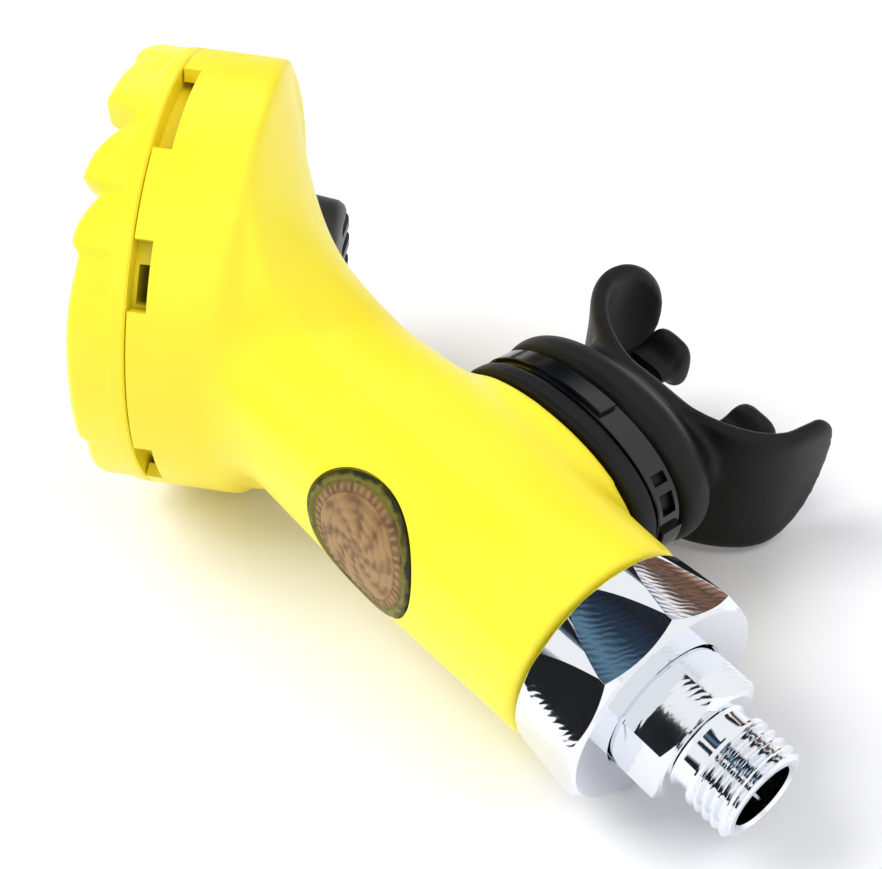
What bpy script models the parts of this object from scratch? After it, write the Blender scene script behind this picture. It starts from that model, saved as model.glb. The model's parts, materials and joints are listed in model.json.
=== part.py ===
"""Second stage of a scuba regulator, the breathing half of a regulator set.

A round diaphragm housing (the drum) grows out of a round barrel.  Air comes in
through the threaded chrome fitting at the barrel's end, passes a lever valve
that lies along the barrel, and leaves through the rubber mouthpiece on the
barrel's rear side.  The diaphragm, its lever and the purge button sit in the
drum, and spent air leaves through a flap valve in the drum's back wall.

Sizes are in millimetres and are turned to metres where a mesh is made.

Three frames share one origin, the centre of the seam between housing and cover:
  bench   x along the barrel to the inlet, y to the mouthpiece, z up
  drum    z out of the front cover, y up, x towards the inlet side of the drum
  barrel  z along the barrel to the inlet, x to the mouthpiece, y up
The mouth frame stands on the barrel: x to the inlet, z out to the diver.
"""

import math

import bmesh
import bpy
import numpy as np
from mathutils import Matrix, Vector

MM = 0.001

# --- overall layout -------------------------------------------------------------
COVER_TO_BARREL_DEG = 137.4      # between the cover's outward axis and the barrel's
SEAM_TO_THREAD_END = 131.5       # along the barrel, from the seam's centre
GAP = 0.3                        # between pieces that touch on the real object
RUNNING_GAP = 0.5                # round a piece that slides

# --- housing --------------------------------------------------------------------
DRUM_RADIUS = 36.8
DRUM_DEPTH = 13.2                # from the seam to the back face
DRUM_EDGE = 1.2                  # radius of the rounded back edge
RIM_WALL = 2.3
BACK_WALL = 2.5
LEDGE_DEPTH = 8.6                # where the diaphragm's bead is clamped
LEDGE_WIDTH = 3.5
NECK_RADIUS = 15.0               # rear side, where the barrel is slimmest
NECK_AT = 39.0
BARREL_RADIUS = 16.9
BARREL_WIDEST_AT = 70.0
BARREL_END_RADIUS = 15.8
BARREL_SQUARENESS = 2.25         # 2 is a circle, more is squarer
BARREL_STATIONS = 9
REAR_SQUARENESS = 2.7            # the rear side is flatter on top
ROOT_SQUARENESS = 2.2            # and rounder where it leaves the drum
CREASE_AHEAD = 5.5               # the soft crease on the barrel's top, in front of its axis
CREASE_END_AT = 80.0             # from here to the collar it fades
NECK_SIDES = 48
NECK_SHARES = (0.0, 0.04, 0.08, 0.12, 0.16, 0.21, 0.28, 0.37, 0.48, 0.6, 0.73, 0.86, 1.0)
NECK_ROOT_REAR = 30.5            # how far past the drum's axis the funnel leaves the back face
FUNNEL_POWER = 3.2               # how fast the funnel's rear comes down to the barrel
CREASE_ROOT = 86.0               # the crease starts this much further from the hinge
CREASE_DECAY = 10.0
CREASE_RISE = ((17.8, 1.27), (22.0, 8.0))   # height over the barrel's, and its power
CREASE_SLOPE = 1.5               # of the web in front of the crease
WEB_BLEND = 2.4                  # how softly the web runs into the barrel
LAND_DEPTH = 2.0                 # the drum's side wall goes on this far under the crease
LAND_SLOPE = 6.0
NECK_INSIDE = 3.0                # the first ring's depth inside the drum
ROUND_RISE = (10.0, 2.2)         # the same as CREASE_RISE for the barrel's round front
PASSAGE_WALL = 2.5
PASSAGE_ROOT_REAR = 5.5          # the air passage inside the neck
PASSAGE_ROOT_HALF_HEIGHT = 22.5
PASSAGE_SHARES = (0.0, 0.12, 0.28, 0.46, 0.66, 1.0)
BORE_RADIUS = 12.0
SPIGOT_RADIUS = 12.9             # turned-down end that the collar screws over

WINDOW_DEPTH = 3.0
WINDOWS_DEG = ((-23.0, 18.0), (35.0, 17.0), (80.5, 29.0))   # centre and width, repeated at 180
WINDOW_REPEATS = 2

# --- front cover ----------------------------------------------------------------
COVER_HEIGHT = 9.7
COVER_BODY_HEIGHT = 4.2          # plain ring below the teeth
COVER_RIM_WIDTH = 7.6
COVER_PLATE_TOP = 1.2
COVER_PLATE = 1.7
COVER_SKIRT_WALL = 2.2
COVER_SKIRT_DEPTH = 4.0
COVER_PORTS = 6
COVER_SPOKE_DEG = 18.0
TOOTH_GROUPS = 3
TOOTH_DROPS = ((81.0, 5.0), (57.0, 2.8), (41.0, 1.1), (-14.0, 1.1))  # angle and depth
TOOTH_SLOPE_DEG = 3.5            # angle taken by the steep side of a notch
TOOTH_SCOOP = 1.1                # how far a notch also cuts into the side

# --- purge, diaphragm -------------------------------------------------------------
PURGE_TRAVEL = 3.0
PURGE_RADIUS = 27.4
PURGE_DOME = 8.6
PURGE_WALL = 1.8
STEM_RADIUS = 3.2
PURGE_SPRING_RADIUS = 6.2
PURGE_SPRING_WIRE = 0.45
PURGE_SPRING_TURNS = 2.5
CLAMP_RING_HEIGHT = 1.9
CLAMP_RING_WIDTH = 3.4
BEAD_HEIGHT = 1.8
DIAPHRAGM_WALL = 0.9
DIAPHRAGM_TOP = -5.0
DIAPHRAGM_FOLD = 2.6             # depth of the rolling fold
PLATE_RADIUS = 14.0
PLATE_THICKNESS = 0.7

# --- valve ------------------------------------------------------------------------
TUBE_RADIUS = 6.6
TUBE_WALL = 1.5
TUBE_END_AT = 29.7
SPINDLE_RADIUS = 1.5
POPPET_HEAD_LENGTH = 4.0
SEAT_THICKNESS = 1.6
ORIFICE_EDGE_INSET = 42.5        # from the thread's end to the edge that the seat closes
ORIFICE_EDGE_RADIUS = 2.7
ORIFICE_BORE = 1.7
ORIFICE_BODY_RADIUS = 4.6
ORIFICE_LENGTH = 14.0
VALVE_SPRING_RADIUS = 3.3
VALVE_SPRING_WIRE = 0.4
VALVE_SPRING_TURNS = 7
VALVE_SPRING_LENGTH = 15.4
BUSH_LENGTH = 6.0
NUT_RADIUS = 2.7
NUT_LENGTH = 3.7
LEVER_THICKNESS = 1.2
LEVER_WIDTH = 4.4
LEVER_PIVOT_Y = 5.6
LEVER_TIP_ACROSS = 2.0           # in the drum frame, under the diaphragm plate
LEVER_FOOT_EXTRA = 4.0           # how much wider its foot is than its arm
AIR_SLOT_HALF_WIDTH = 2.6        # in the tube, behind the seat
AIR_SLOT_LENGTH = 6.0
AIR_SLOT_INSET = 9.0

# --- inlet ------------------------------------------------------------------------
THREAD_RADIUS = 7.14             # 9/16-18 UNF
THREAD_LENGTH = 6.8
THREAD_CHAMFER = 0.8
RELIEF_RADIUS = 6.2
RELIEF_LENGTH = 3.0
HEX_ACROSS_FLATS = 17.0
HEX_LENGTH = 7.8
HEX_CORNER_ROUND = 9.55          # radius that turns the hexagon's corners off
HEX_TURN_DEG = 5.0               # puts one flat towards the viewer
INLET_BORE_RADIUS = 4.85
INLET_BORE_DEPTH = 13.0
INLET_SPIGOT_RADIUS = 10.4
COLLAR_LENGTH = 11.7
COLLAR_BACK_RADIUS = 15.9
COLLAR_FRONT_RADIUS = 17.1
COLLAR_LIP_RADIUS = 16.3
COLLAR_LIP = 0.7
COLLAR_FACE = 2.6                # thickness of the inward flange at the front
COLLAR_FLATS = 9
COLLAR_TURN_DEG = 34.0           # turns the flats to where the photo shows them
FLAT_BACK_DISTANCE = 15.72
FLAT_FRONT_DISTANCE = 16.02

# --- mouthpiece -------------------------------------------------------------------
PORT_AT = 73.0                   # along the barrel
PORT_FACE = 16.8                 # from the barrel's axis to the boss's face
PORT_HALF = (21.4, 12.2)         # half length along the barrel, half height
STUB_HALF = (18.4, 9.3)
STUB_WALL = 1.7
STUB_LENGTH = 12.0
BEAD_LENGTH = 3.6
GROOVE_LENGTH = 5.6
GROOVE_HALF = (20.0, 10.9)
SLEEVE_HALF = (22.4, 13.2)
SLEEVE_LENGTH = 20.2
NECK_HALF = (17.5, 9.6)
MOUTH_BORE_HALF = (13.5, 5.6)
SHIELD_HALF_WIDTH = 21.8
SHIELD_SWEEP = 13.0              # from the shield's middle to where its wings start
WING_LENGTH = 8.0
WING_CURL = 1.2                  # how far the wings' ends lean inwards
SHIELD_BEND_SHARE = 0.66         # of the way along, from the middle, the wings start
SHIELD_THICKNESS = 3.2
SHIELD_TOP = (9.0, 8.2)          # height over the bore at the middle and at the wings
SHIELD_BOTTOM = (16.0, 15.8)
SHIELD_TURN_DEG = 6.0            # the soft shield sits a little turned on its sleeve
TAB_OFFSET = 10.5
TAB_WIDTH = 9.0
TAB_THICKNESS = 3.2
TAB_REACH = 38.5                 # from the boss's face
NUB_HALF_HEIGHT = 4.6
TAB_DROP = 2.8                   # the tabs sit below the bore's middle
NUB_THICKNESS = 3.4
TIE_THICKNESS = 1.1
TIE_WIDTH = 4.6
TIE_HEAD = (9.0, 2.6, 4.4)
TIE_HEAD_AT = 13.0

# --- exhaust ----------------------------------------------------------------------
EXHAUST_AT = (-20.5, -10.4)       # in the drum frame, away from the barrel and low
EXHAUST_RADIUS = 6.6
EXHAUST_HUB_RADIUS = 2.9
EXHAUST_SPOKES = 4
EXHAUST_SPOKE_DEG = 26.0
FLAP_RADIUS = 7.8
FLAP_THICKNESS = 0.9
FLAP_STEM_RADIUS = 1.4
EXHAUST_COVER_HALF = (11.0, 12.5)
EXHAUST_COVER_HEIGHT = 9.4
EXHAUST_COVER_WALL = 1.6
EXHAUST_SLOTS = 4
EXHAUST_SLOT_WIDTH = 3.0

# --- badge ------------------------------------------------------------------------
BADGE_AT = 69.4                  # along the barrel
BADGE_HALF = (11.4, 11.1)
BADGE_TILT_DEG = 174.0           # round the barrel from the mouthpiece side, upwards
BADGE_THICKNESS = 1.2
BADGE_RECESS = 0.9

ROUND_SIDES = 48                       # sides of a large round piece
HIDDEN_SIDES = 36                # sides of a large round piece inside the drum
FINE_SIDES = 24                        # sides of a small one
SLEEVE_SIDES = 40                # of the mouthpiece and its tie
SPRING_POINTS = 9                # per turn
WELD = 0.000008                  # metres, closes the hairline slits that cuts leave


# ------------------------------------------------------------------ materials
def material(name, colour, roughness, metallic=0.0):
    mat = bpy.data.materials.new(name)
    mat.use_nodes = True
    shader = mat.node_tree.nodes["Principled BSDF"]
    shader.inputs["Base Color"].default_value = (*colour, 1.0)
    shader.inputs["Roughness"].default_value = roughness
    shader.inputs["Metallic"].default_value = metallic
    return mat


def finishes():
    return {
        "yellow_plastic": ((0.93, 0.80, 0.03), 0.42, 0.0),
        "black_plastic": ((0.03, 0.03, 0.03), 0.45, 0.0),
        "black_silicone": ((0.02, 0.02, 0.022), 0.6, 0.0),
        "gloss_nylon": ((0.01, 0.01, 0.01), 0.15, 0.0),
        "chrome": ((0.80, 0.82, 0.84), 0.08, 1.0),
        "brass": ((0.72, 0.55, 0.25), 0.3, 1.0),
        "steel": ((0.62, 0.62, 0.62), 0.3, 1.0),
        "clear_silicone": ((0.55, 0.55, 0.52), 0.5, 0.0),
        "copper": ((0.42, 0.28, 0.19), 0.55, 0.8),
    }


# ------------------------------------------------------------------ mesh makers
def turned(profile, segments=ROUND_SIDES):
    """Closed solid turned about Z from a closed outline of (radius, height)."""
    bm = bmesh.new()
    verts = [bm.verts.new((radius, 0.0, height)) for radius, height in profile]
    edges = [bm.edges.new((verts[i - 1], verts[i])) for i in range(len(verts))]
    bmesh.ops.spin(bm, geom=verts + edges, cent=(0, 0, 0), axis=(0, 0, 1),
                   angle=2 * math.pi, steps=segments, use_merge=True)
    return tidy(bm)


def tidy(bm):
    bmesh.ops.remove_doubles(bm, verts=bm.verts, dist=1e-4)
    bmesh.ops.dissolve_degenerate(bm, edges=bm.edges, dist=1e-5)
    bmesh.ops.delete(bm, geom=[e for e in bm.edges if not e.link_faces], context="EDGES")
    bmesh.ops.recalc_face_normals(bm, faces=bm.faces)
    return bm


def lofted(rings):
    """Closed solid through rings of the same number of points, with flat ends."""
    bm = bmesh.new()
    loops = [[bm.verts.new(point) for point in ring] for ring in rings]
    count = len(loops[0])
    for low, high in zip(loops, loops[1:]):
        for i in range(count):
            bm.faces.new((low[i - 1], low[i], high[i], high[i - 1]))
    bm.faces.new(loops[0])
    bm.faces.new(list(reversed(loops[-1])))
    return tidy(bm)


def oval(half_x, half_y, z, power=2.5, count=ROUND_SIDES):
    """Ring of a superellipse at height z: 2 is an ellipse, more is squarer."""
    ring = []
    for i in range(count):
        angle = 2 * math.pi * (i + 0.5) / count
        c, s = math.cos(angle), math.sin(angle)
        ring.append((half_x * math.copysign(abs(c) ** (2 / power), c),
                     half_y * math.copysign(abs(s) ** (2 / power), s), z))
    return ring


def prism(outline, low, high):
    """Outline of (x, y) points drawn up from low to high."""
    return lofted([[(x, y, z) for x, y in outline] for z in (low, high)])


def block(size, centre):
    bm = bmesh.new()
    bmesh.ops.create_cube(bm, size=1.0)
    bmesh.ops.scale(bm, vec=size, verts=bm.verts)
    bmesh.ops.translate(bm, vec=centre, verts=bm.verts)
    return bm


def bevelled(bm, width, segments=2, sharper_than_deg=30.0):
    edges = [e for e in bm.edges if len(e.link_faces) == 2
             and e.calc_face_angle() > math.radians(sharper_than_deg)]
    bmesh.ops.bevel(bm, geom=edges, offset=width, segments=segments, profile=0.5,
                    affect="EDGES", clamp_overlap=True)
    return tidy(bm)


def arc_points(centre, radius, start_deg, end_deg, steps):
    """Points of an arc in a (radius, height) outline."""
    angles = np.radians(np.linspace(start_deg, end_deg, steps + 1))
    return [(centre[0] + radius * math.cos(a), centre[1] + radius * math.sin(a)) for a in angles]


def smooth_step(value):
    value = min(1.0, max(0.0, value))
    return value * value * (3 - 2 * value)


# ------------------------------------------------------------------ objects
class Bench:
    """The empties that carry the pieces, and the finishes."""

    def __init__(self):
        self.finish = {name: material(name, *values) for name, values in finishes().items()}
        self.pieces = []
        self.bench = self.frame("bench", None, Matrix.Identity(4))
        turn = math.radians(COVER_TO_BARREL_DEG)
        outward = Vector((math.cos(turn), -math.sin(turn), 0.0))
        across = Vector((-outward.y, outward.x, 0.0))
        self.drum_axes = Matrix((across, (0, 0, 1), outward)).transposed().to_4x4()
        self.drum = self.frame("drum_frame", self.bench, self.drum_axes)
        self.barrel = self.frame("barrel_frame", self.bench,
                                 Matrix(((0, 1, 0), (0, 0, 1), (1, 0, 0))).transposed().to_4x4())
        mouth_axes = Matrix(((1, 0, 0), (0, 0, -1), (0, 1, 0))).transposed().to_4x4()
        self.mouth = self.frame("mouth_frame", self.bench,
                                Matrix.Translation((PORT_AT * MM, 0, 0)) @ mouth_axes)

    def frame(self, name, parent, matrix):
        empty = bpy.data.objects.new(name, None)
        bpy.context.scene.collection.objects.link(empty)
        empty.parent = parent
        empty.matrix_local = matrix
        return empty

    def place(self, name, data, parent, origin):
        obj = bpy.data.objects.new(name, data)
        bpy.context.scene.collection.objects.link(obj)
        obj.parent = parent
        obj.location = Vector(origin) * MM
        return obj

    def mesh(self, name, bm, origin):
        bmesh.ops.translate(bm, vec=-Vector(origin), verts=bm.verts)
        bmesh.ops.scale(bm, vec=(MM, MM, MM), verts=bm.verts)
        data = bpy.data.meshes.new(name)
        bm.to_mesh(data)
        bm.free()
        return data

    def piece(self, name, bm, finish, parent, origin=(0, 0, 0), sharp_deg=32.0):
        """A named piece of the product."""
        data = self.mesh(name, bm, origin)
        data.shade_smooth()
        data.set_sharp_from_angle(angle=math.radians(sharp_deg))
        data.materials.append(self.finish[finish])
        obj = self.place(name, data, parent, origin)
        self.pieces.append(obj)
        return obj

    def tool(self, name, bm, parent):
        """A shape that only cuts or joins."""
        obj = self.place(name, self.mesh(name, bm, (0, 0, 0)), parent, (0, 0, 0))
        obj.hide_render = True
        obj.display_type = "WIRE"
        return obj

    def combine(self, target, operation, name, bm, parent):
        modifier = target.modifiers.new(name, "BOOLEAN")
        modifier.operation = operation
        modifier.solver = "EXACT"
        modifier.object = self.tool(name, bm, parent)
        weld = target.modifiers.new(name + "_weld", "WELD")
        weld.merge_threshold = WELD

    def cut(self, target, name, bm, parent):
        self.combine(target, "DIFFERENCE", name, bm, parent)

    def join(self, target, name, bm, parent):
        self.combine(target, "UNION", name, bm, parent)

    def spring(self, name, radius, wire, turns, low, high, parent):
        """Round-wire compression spring about the frame's Z, as one tube."""
        count = int(turns * SPRING_POINTS) + 1
        points = []
        for i in range(count):
            share = i / (count - 1)
            angle = 2 * math.pi * turns * share
            points.append((radius * math.cos(angle), radius * math.sin(angle),
                           low + wire + (high - low - 2 * wire) * share))
        curve = bpy.data.curves.new(name, "CURVE")
        curve.dimensions = "3D"
        curve.bevel_depth = wire * MM
        curve.bevel_resolution = 1
        curve.use_fill_caps = True
        spline = curve.splines.new("POLY")
        spline.points.add(count - 1)
        for point, place in zip(spline.points, points):
            point.co = (*(Vector(place) * MM), 1.0)
        curve.materials.append(self.finish["steel"])
        obj = self.place(name, curve, parent, (0, 0, 0))
        self.pieces.append(obj)
        path = np.array(points)
        gaps = [np.linalg.norm(path[i] - path[i + SPRING_POINTS - 1:], axis=1).min()
                for i in range(count - SPRING_POINTS)]
        print(f"{name}: least gap between turns {min(gaps) - 2 * wire:.2f} mm")
        return obj


# ------------------------------------------------------------------ housing
def barrel_radius(x):
    """Radius of the barrel from its slim neck, over its middle, to the collar."""
    if x < BARREL_WIDEST_AT:
        share = smooth_step((x - NECK_AT) / (BARREL_WIDEST_AT - NECK_AT))
        return NECK_RADIUS + (BARREL_RADIUS - NECK_RADIUS) * share
    share = smooth_step((x - BARREL_WIDEST_AT) / (collar_back() - BARREL_WIDEST_AT))
    return BARREL_RADIUS + (BARREL_END_RADIUS - BARREL_RADIUS) * share


def front_radius(x):
    """The same on the cover's side, which stays fuller beside the drum."""
    return max(barrel_radius(x), BARREL_RADIUS) if x < BARREL_WIDEST_AT else barrel_radius(x)


def ring_of(foot, direction, upper):
    """Closed ring from its upper half of (distance along direction, height), mirrored below."""
    lower = [(reach, -height) for reach, height in reversed(upper[1:-1])]
    points = [(foot + direction * reach, height) for reach, height in upper + lower]
    return [(point.x, point.y, height) for point, height in points]


def super_height(share, power):
    """Height of a unit superellipse at a share of its half width."""
    return max(0.0, 1.0 - abs(share) ** power) ** (1.0 / power)


def softer(low, high, width):
    """The smaller of two heights, with the corner between them rounded."""
    if width <= 0.0:
        return min(low, high)
    share = min(1.0, max(0.0, 0.5 + 0.5 * (high - low) / width))
    return high + (low - high) * share - width * share * (1.0 - share)


def upper_half(near, far, crease, front_height, crease_height, power, limit=None):
    """Upper half outline: a front from near to the crease, and a flatter rear to far."""
    steps = NECK_SIDES // 4
    outline = []
    for i in range(steps):
        reach = near + (crease - near) * (1.0 - math.cos(math.pi / 2 * i / steps))
        outline.append((reach, front_height(reach)))
    for i in range(steps + 1):
        share = math.sin(math.pi / 2 * i / steps)
        reach = crease + (far - crease) * share
        height = crease_height * super_height(share, power)
        outline.append((reach, min(height, limit(reach)) if limit else height))
    return [(near, 0.0)] + outline[1:-1] + [(far, 0.0)]


def barrel_section(x):
    near, far = front_radius(x), barrel_radius(x)
    height = (near + far) / 2
    crease = -CREASE_AHEAD * (1.0 - smooth_step((x - CREASE_END_AT) / (collar_back() - CREASE_END_AT)))

    def front(reach):
        return height * super_height(reach / near, BARREL_SQUARENESS)

    return ring_of(Vector((x, 0.0)), Vector((0.0, 1.0)),
                   upper_half(-near, far, crease, front, front(crease), REAR_SQUARENESS))


def hinge_line(bench):
    """The neck's rings fan round a line in front of it: its foot, and its reach from the drum."""
    across = Vector(drum_point(bench, 1.0, 0.0))
    start = Vector(drum_point(bench, 0.0, -DRUM_DEPTH + NECK_INSIDE))
    reach = (NECK_AT + 4.0 - start.x) / across.x
    return start + across * reach, reach, -across


def fan_direction(toward_rear, angle):
    return Vector((toward_rear.x * math.cos(angle) - toward_rear.y * math.sin(angle),
                   toward_rear.x * math.sin(angle) + toward_rear.y * math.cos(angle)))


def neck_sections(bench):
    """Rings from the drum's back to the barrel: a funnel with a crease along its top."""
    hinge, reach, toward_rear = hinge_line(bench)
    bend = math.radians(180.0 - COVER_TO_BARREL_DEG)
    end_near, end_far = -hinge.y - front_radius(hinge.x), -hinge.y + barrel_radius(hinge.x)
    end_height = (barrel_radius(hinge.x) + front_radius(hinge.x)) / 2
    end_crease = -hinge.y - CREASE_AHEAD
    rings = []
    for share in NECK_SHARES:
        left = 1.0 - share
        turn = bend * share
        near = end_near + (reach - DRUM_RADIUS + 0.4 - end_near) * left ** 1.5
        far = end_far + (reach + NECK_ROOT_REAR - end_far) * left ** FUNNEL_POWER
        crease = end_crease + CREASE_ROOT * math.exp(-CREASE_DECAY * share)
        crease = min(crease, far - (far - near) * 0.04)
        free = 40.0 * smooth_step((math.degrees(turn) - 8.0) / 10.0)
        half = -hinge.y - end_near
        round_height = end_height + ROUND_RISE[0] * left ** ROUND_RISE[1]

        def wall(distance):
            """Height of the drum's side wall above a point of this ring's plane."""
            across = reach - distance * math.cos(turn)
            return math.sqrt(max(0.0, DRUM_RADIUS ** 2 - across ** 2))

        top = end_height * super_height(CREASE_AHEAD / half, BARREL_SQUARENESS)
        top += sum(rise * left ** power for rise, power in CREASE_RISE)
        top = min(top, wall(crease) + 0.3 * share)

        def front(distance):
            blend = WEB_BLEND * smooth_step((crease - distance) / (4 * WEB_BLEND))
            offset = min(0.0, distance - near - half)
            barrel = min(round_height * super_height(offset / half, BARREL_SQUARENESS),
                         wall(distance) + free)
            web = min(top - CREASE_SLOPE * (crease - distance), wall(distance))
            joined = -softer(-barrel, -web, blend)
            behind = distance * math.sin(turn) - NECK_INSIDE - LAND_DEPTH
            land = wall(distance) - LAND_SLOPE * max(0.0, behind)
            return max(min(joined, wall(distance) + free), land, 0.0)

        rear_power = ROOT_SQUARENESS + (REAR_SQUARENESS - ROOT_SQUARENESS) * smooth_step(share)
        rings.append(ring_of(hinge, fan_direction(toward_rear, -turn),
                             upper_half(near, far, crease, front, top, rear_power, wall)))
    return rings, hinge.x


def passage_sections(bench):
    """Rings of the air passage from the drum into the barrel's bore."""
    hinge, reach, toward_rear = hinge_line(bench)
    bend = math.radians(180.0 - COVER_TO_BARREL_DEG)
    end = (-hinge.y - BORE_RADIUS, -hinge.y + BORE_RADIUS)
    root = (reach - DRUM_RADIUS + PASSAGE_WALL + LEDGE_WIDTH, reach + PASSAGE_ROOT_REAR)
    rings = []
    for share in PASSAGE_SHARES:
        left = 1.0 - share
        near = end[0] + (root[0] - end[0]) * left ** 1.5
        far = end[1] + (root[1] - end[1]) * left ** 2.6
        height = BORE_RADIUS + (PASSAGE_ROOT_HALF_HEIGHT - BORE_RADIUS) * left ** 2.2
        direction = fan_direction(toward_rear, -bend * share)
        foot = hinge + direction * (near + far) / 2
        ring = []
        for along, up, _ in oval((far - near) / 2, height, 0.0, 2.0, HIDDEN_SIDES):
            point = foot + direction * along
            ring.append((point.x, point.y, up))
        rings.append(ring)
    return rings


def collar_front():
    return SEAM_TO_THREAD_END - THREAD_LENGTH - RELIEF_LENGTH - HEX_LENGTH


def collar_back():
    return collar_front() - COLLAR_LENGTH


def drum_body():
    """The drum's outside, from the seam to the rounded back edge."""
    edge = arc_points((DRUM_RADIUS - DRUM_EDGE, -DRUM_DEPTH + DRUM_EDGE), DRUM_EDGE, 0, -90, 4)
    return turned([(0, -GAP / 2), (DRUM_RADIUS, -GAP / 2), *edge, (0, -DRUM_DEPTH)])


def drum_cavity():
    inner = DRUM_RADIUS - RIM_WALL
    return turned([(0, 2.0), (inner, 2.0), (inner, -LEDGE_DEPTH),
                   (inner - LEDGE_WIDTH, -LEDGE_DEPTH),
                   (inner - LEDGE_WIDTH, -DRUM_DEPTH + BACK_WALL), (0, -DRUM_DEPTH + BACK_WALL)])


def sector_outline(inner, outer, centre_deg, width_deg, steps=4):
    """Part of a ring between two radii and two angles."""
    angles = np.radians(np.linspace(centre_deg - width_deg / 2, centre_deg + width_deg / 2,
                                    steps + 1))
    outline = [(outer * math.cos(a), outer * math.sin(a)) for a in angles]
    return outline + [(inner * math.cos(a), inner * math.sin(a)) for a in reversed(angles)]


def window_cutter(centre_deg, width_deg):
    """Wedge that opens the rim between two angles, down from the seam."""
    return prism(sector_outline(DRUM_RADIUS - RIM_WALL - 1.0, DRUM_RADIUS + 2.0, centre_deg,
                                width_deg), -WINDOW_DEPTH, 1.0)


def badge_shape(grow, low, high):
    """Oval plug on the barrel's front side, in the barrel frame."""
    bm = lofted([oval(BADGE_HALF[0] + grow, BADGE_HALF[1] + grow, z, 2.0, FINE_SIDES + 8)
                 for z in (low, high)])
    tilt = math.radians(BADGE_TILT_DEG)
    radial = Vector((math.cos(tilt), math.sin(tilt), 0))
    around = Vector((-radial.y, radial.x, 0))
    axes = Matrix(((0, 0, 1), around, radial)).transposed().to_4x4()
    bmesh.ops.transform(bm, matrix=Matrix.Translation((0, 0, BADGE_AT)) @ axes, verts=bm.verts)
    return bm


def barrel_shell(offset):
    """The barrel's outside, moved in or out, to wrap the badge on it."""
    rings = []
    for x in np.linspace(BADGE_AT - BADGE_HALF[0] - 6, BADGE_AT + BADGE_HALF[0] + 6, 9):
        ring = []
        for along, y, z in barrel_section(x):
            grow = 1 + offset / math.hypot(y, z)
            ring.append((along, y * grow, z * grow))
        rings.append(ring)
    return lofted(rings)


def make_housing(bench):
    housing = bench.piece("housing", drum_body(), "yellow_plastic", bench.drum)
    rings, neck_end = neck_sections(bench)
    stations = np.linspace(neck_end, collar_back() - GAP, BARREL_STATIONS)[1:]
    bench.join(housing, "barrel_body", lofted(rings + [barrel_section(x) for x in stations]),
               bench.bench)
    boss = [oval(PORT_HALF[0] + grow, PORT_HALF[1] + grow, z)
            for grow, z in ((1.6, 6.0), (1.2, 12.0), (0.0, PORT_FACE))]
    bench.join(housing, "port_boss", lofted(boss), bench.mouth)
    stub = [oval(*STUB_HALF, z) for z in (PORT_FACE - 4, PORT_FACE + STUB_LENGTH)]
    bench.join(housing, "port_stub", lofted(stub), bench.mouth)
    spigot_end = collar_front() - COLLAR_FACE - GAP
    bench.join(housing, "collar_spigot",
               turned([(0, collar_back() - 6), (SPIGOT_RADIUS, collar_back() - 6),
                       (SPIGOT_RADIUS, spigot_end), (0, spigot_end)]), bench.barrel)

    bench.cut(housing, "drum_cavity", drum_cavity(), bench.drum)
    bench.cut(housing, "neck_passage", lofted(passage_sections(bench)), bench.bench)
    bore_start = (DRUM_DEPTH - BACK_WALL) * 0.5
    bench.cut(housing, "barrel_bore",
              turned([(0, bore_start), (BORE_RADIUS, bore_start),
                      (BORE_RADIUS, inlet_shoulder()), (INLET_SPIGOT_RADIUS + GAP, inlet_shoulder()),
                      (INLET_SPIGOT_RADIUS + GAP, spigot_end + 5), (0, spigot_end + 5)]),
              bench.barrel)
    opening = [oval(STUB_HALF[0] - STUB_WALL, STUB_HALF[1] - STUB_WALL, z)
               for z in (0.0, PORT_FACE + STUB_LENGTH + 3)]
    bench.cut(housing, "port_opening", lofted(opening), bench.mouth)
    pocket = [(EXHAUST_AT[0] + x, EXHAUST_AT[1] + y) for x, y, _ in
              oval(EXHAUST_COVER_HALF[0] + GAP, EXHAUST_COVER_HALF[1] + GAP, 0)]
    bench.cut(housing, "exhaust_pocket", prism(pocket, -3 * DRUM_DEPTH, -DRUM_DEPTH), bench.drum)
    wall = (-DRUM_DEPTH - 1, -DRUM_DEPTH + BACK_WALL + 1)
    for number in range(EXHAUST_SPOKES):
        sector = sector_outline(EXHAUST_HUB_RADIUS, EXHAUST_RADIUS, 360.0 / EXHAUST_SPOKES * number,
                                360.0 / EXHAUST_SPOKES - EXHAUST_SPOKE_DEG, 6)
        bench.cut(housing, f"exhaust_opening_{number}",
                  prism([(EXHAUST_AT[0] + x, EXHAUST_AT[1] + y) for x, y in sector], *wall),
                  bench.drum)
    stem = FLAP_STEM_RADIUS + GAP
    bench.cut(housing, "exhaust_stem_hole",
              prism([(EXHAUST_AT[0] + x, EXHAUST_AT[1] + y)
                     for x, y, _ in oval(stem, stem, 0, 2, FINE_SIDES // 2)], *wall), bench.drum)
    for repeat in range(WINDOW_REPEATS):
        for number, (centre, width) in enumerate(WINDOWS_DEG):
            turn = centre + 360.0 / WINDOW_REPEATS * repeat
            bench.cut(housing, f"window_{repeat}_{number}", window_cutter(turn, width), bench.drum)
    return housing


def orifice_edge():
    return SEAM_TO_THREAD_END - ORIFICE_EDGE_INSET


def inlet_shoulder():
    """Where the inlet fitting's spigot stops inside the barrel."""
    return collar_back() - 2.0


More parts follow.
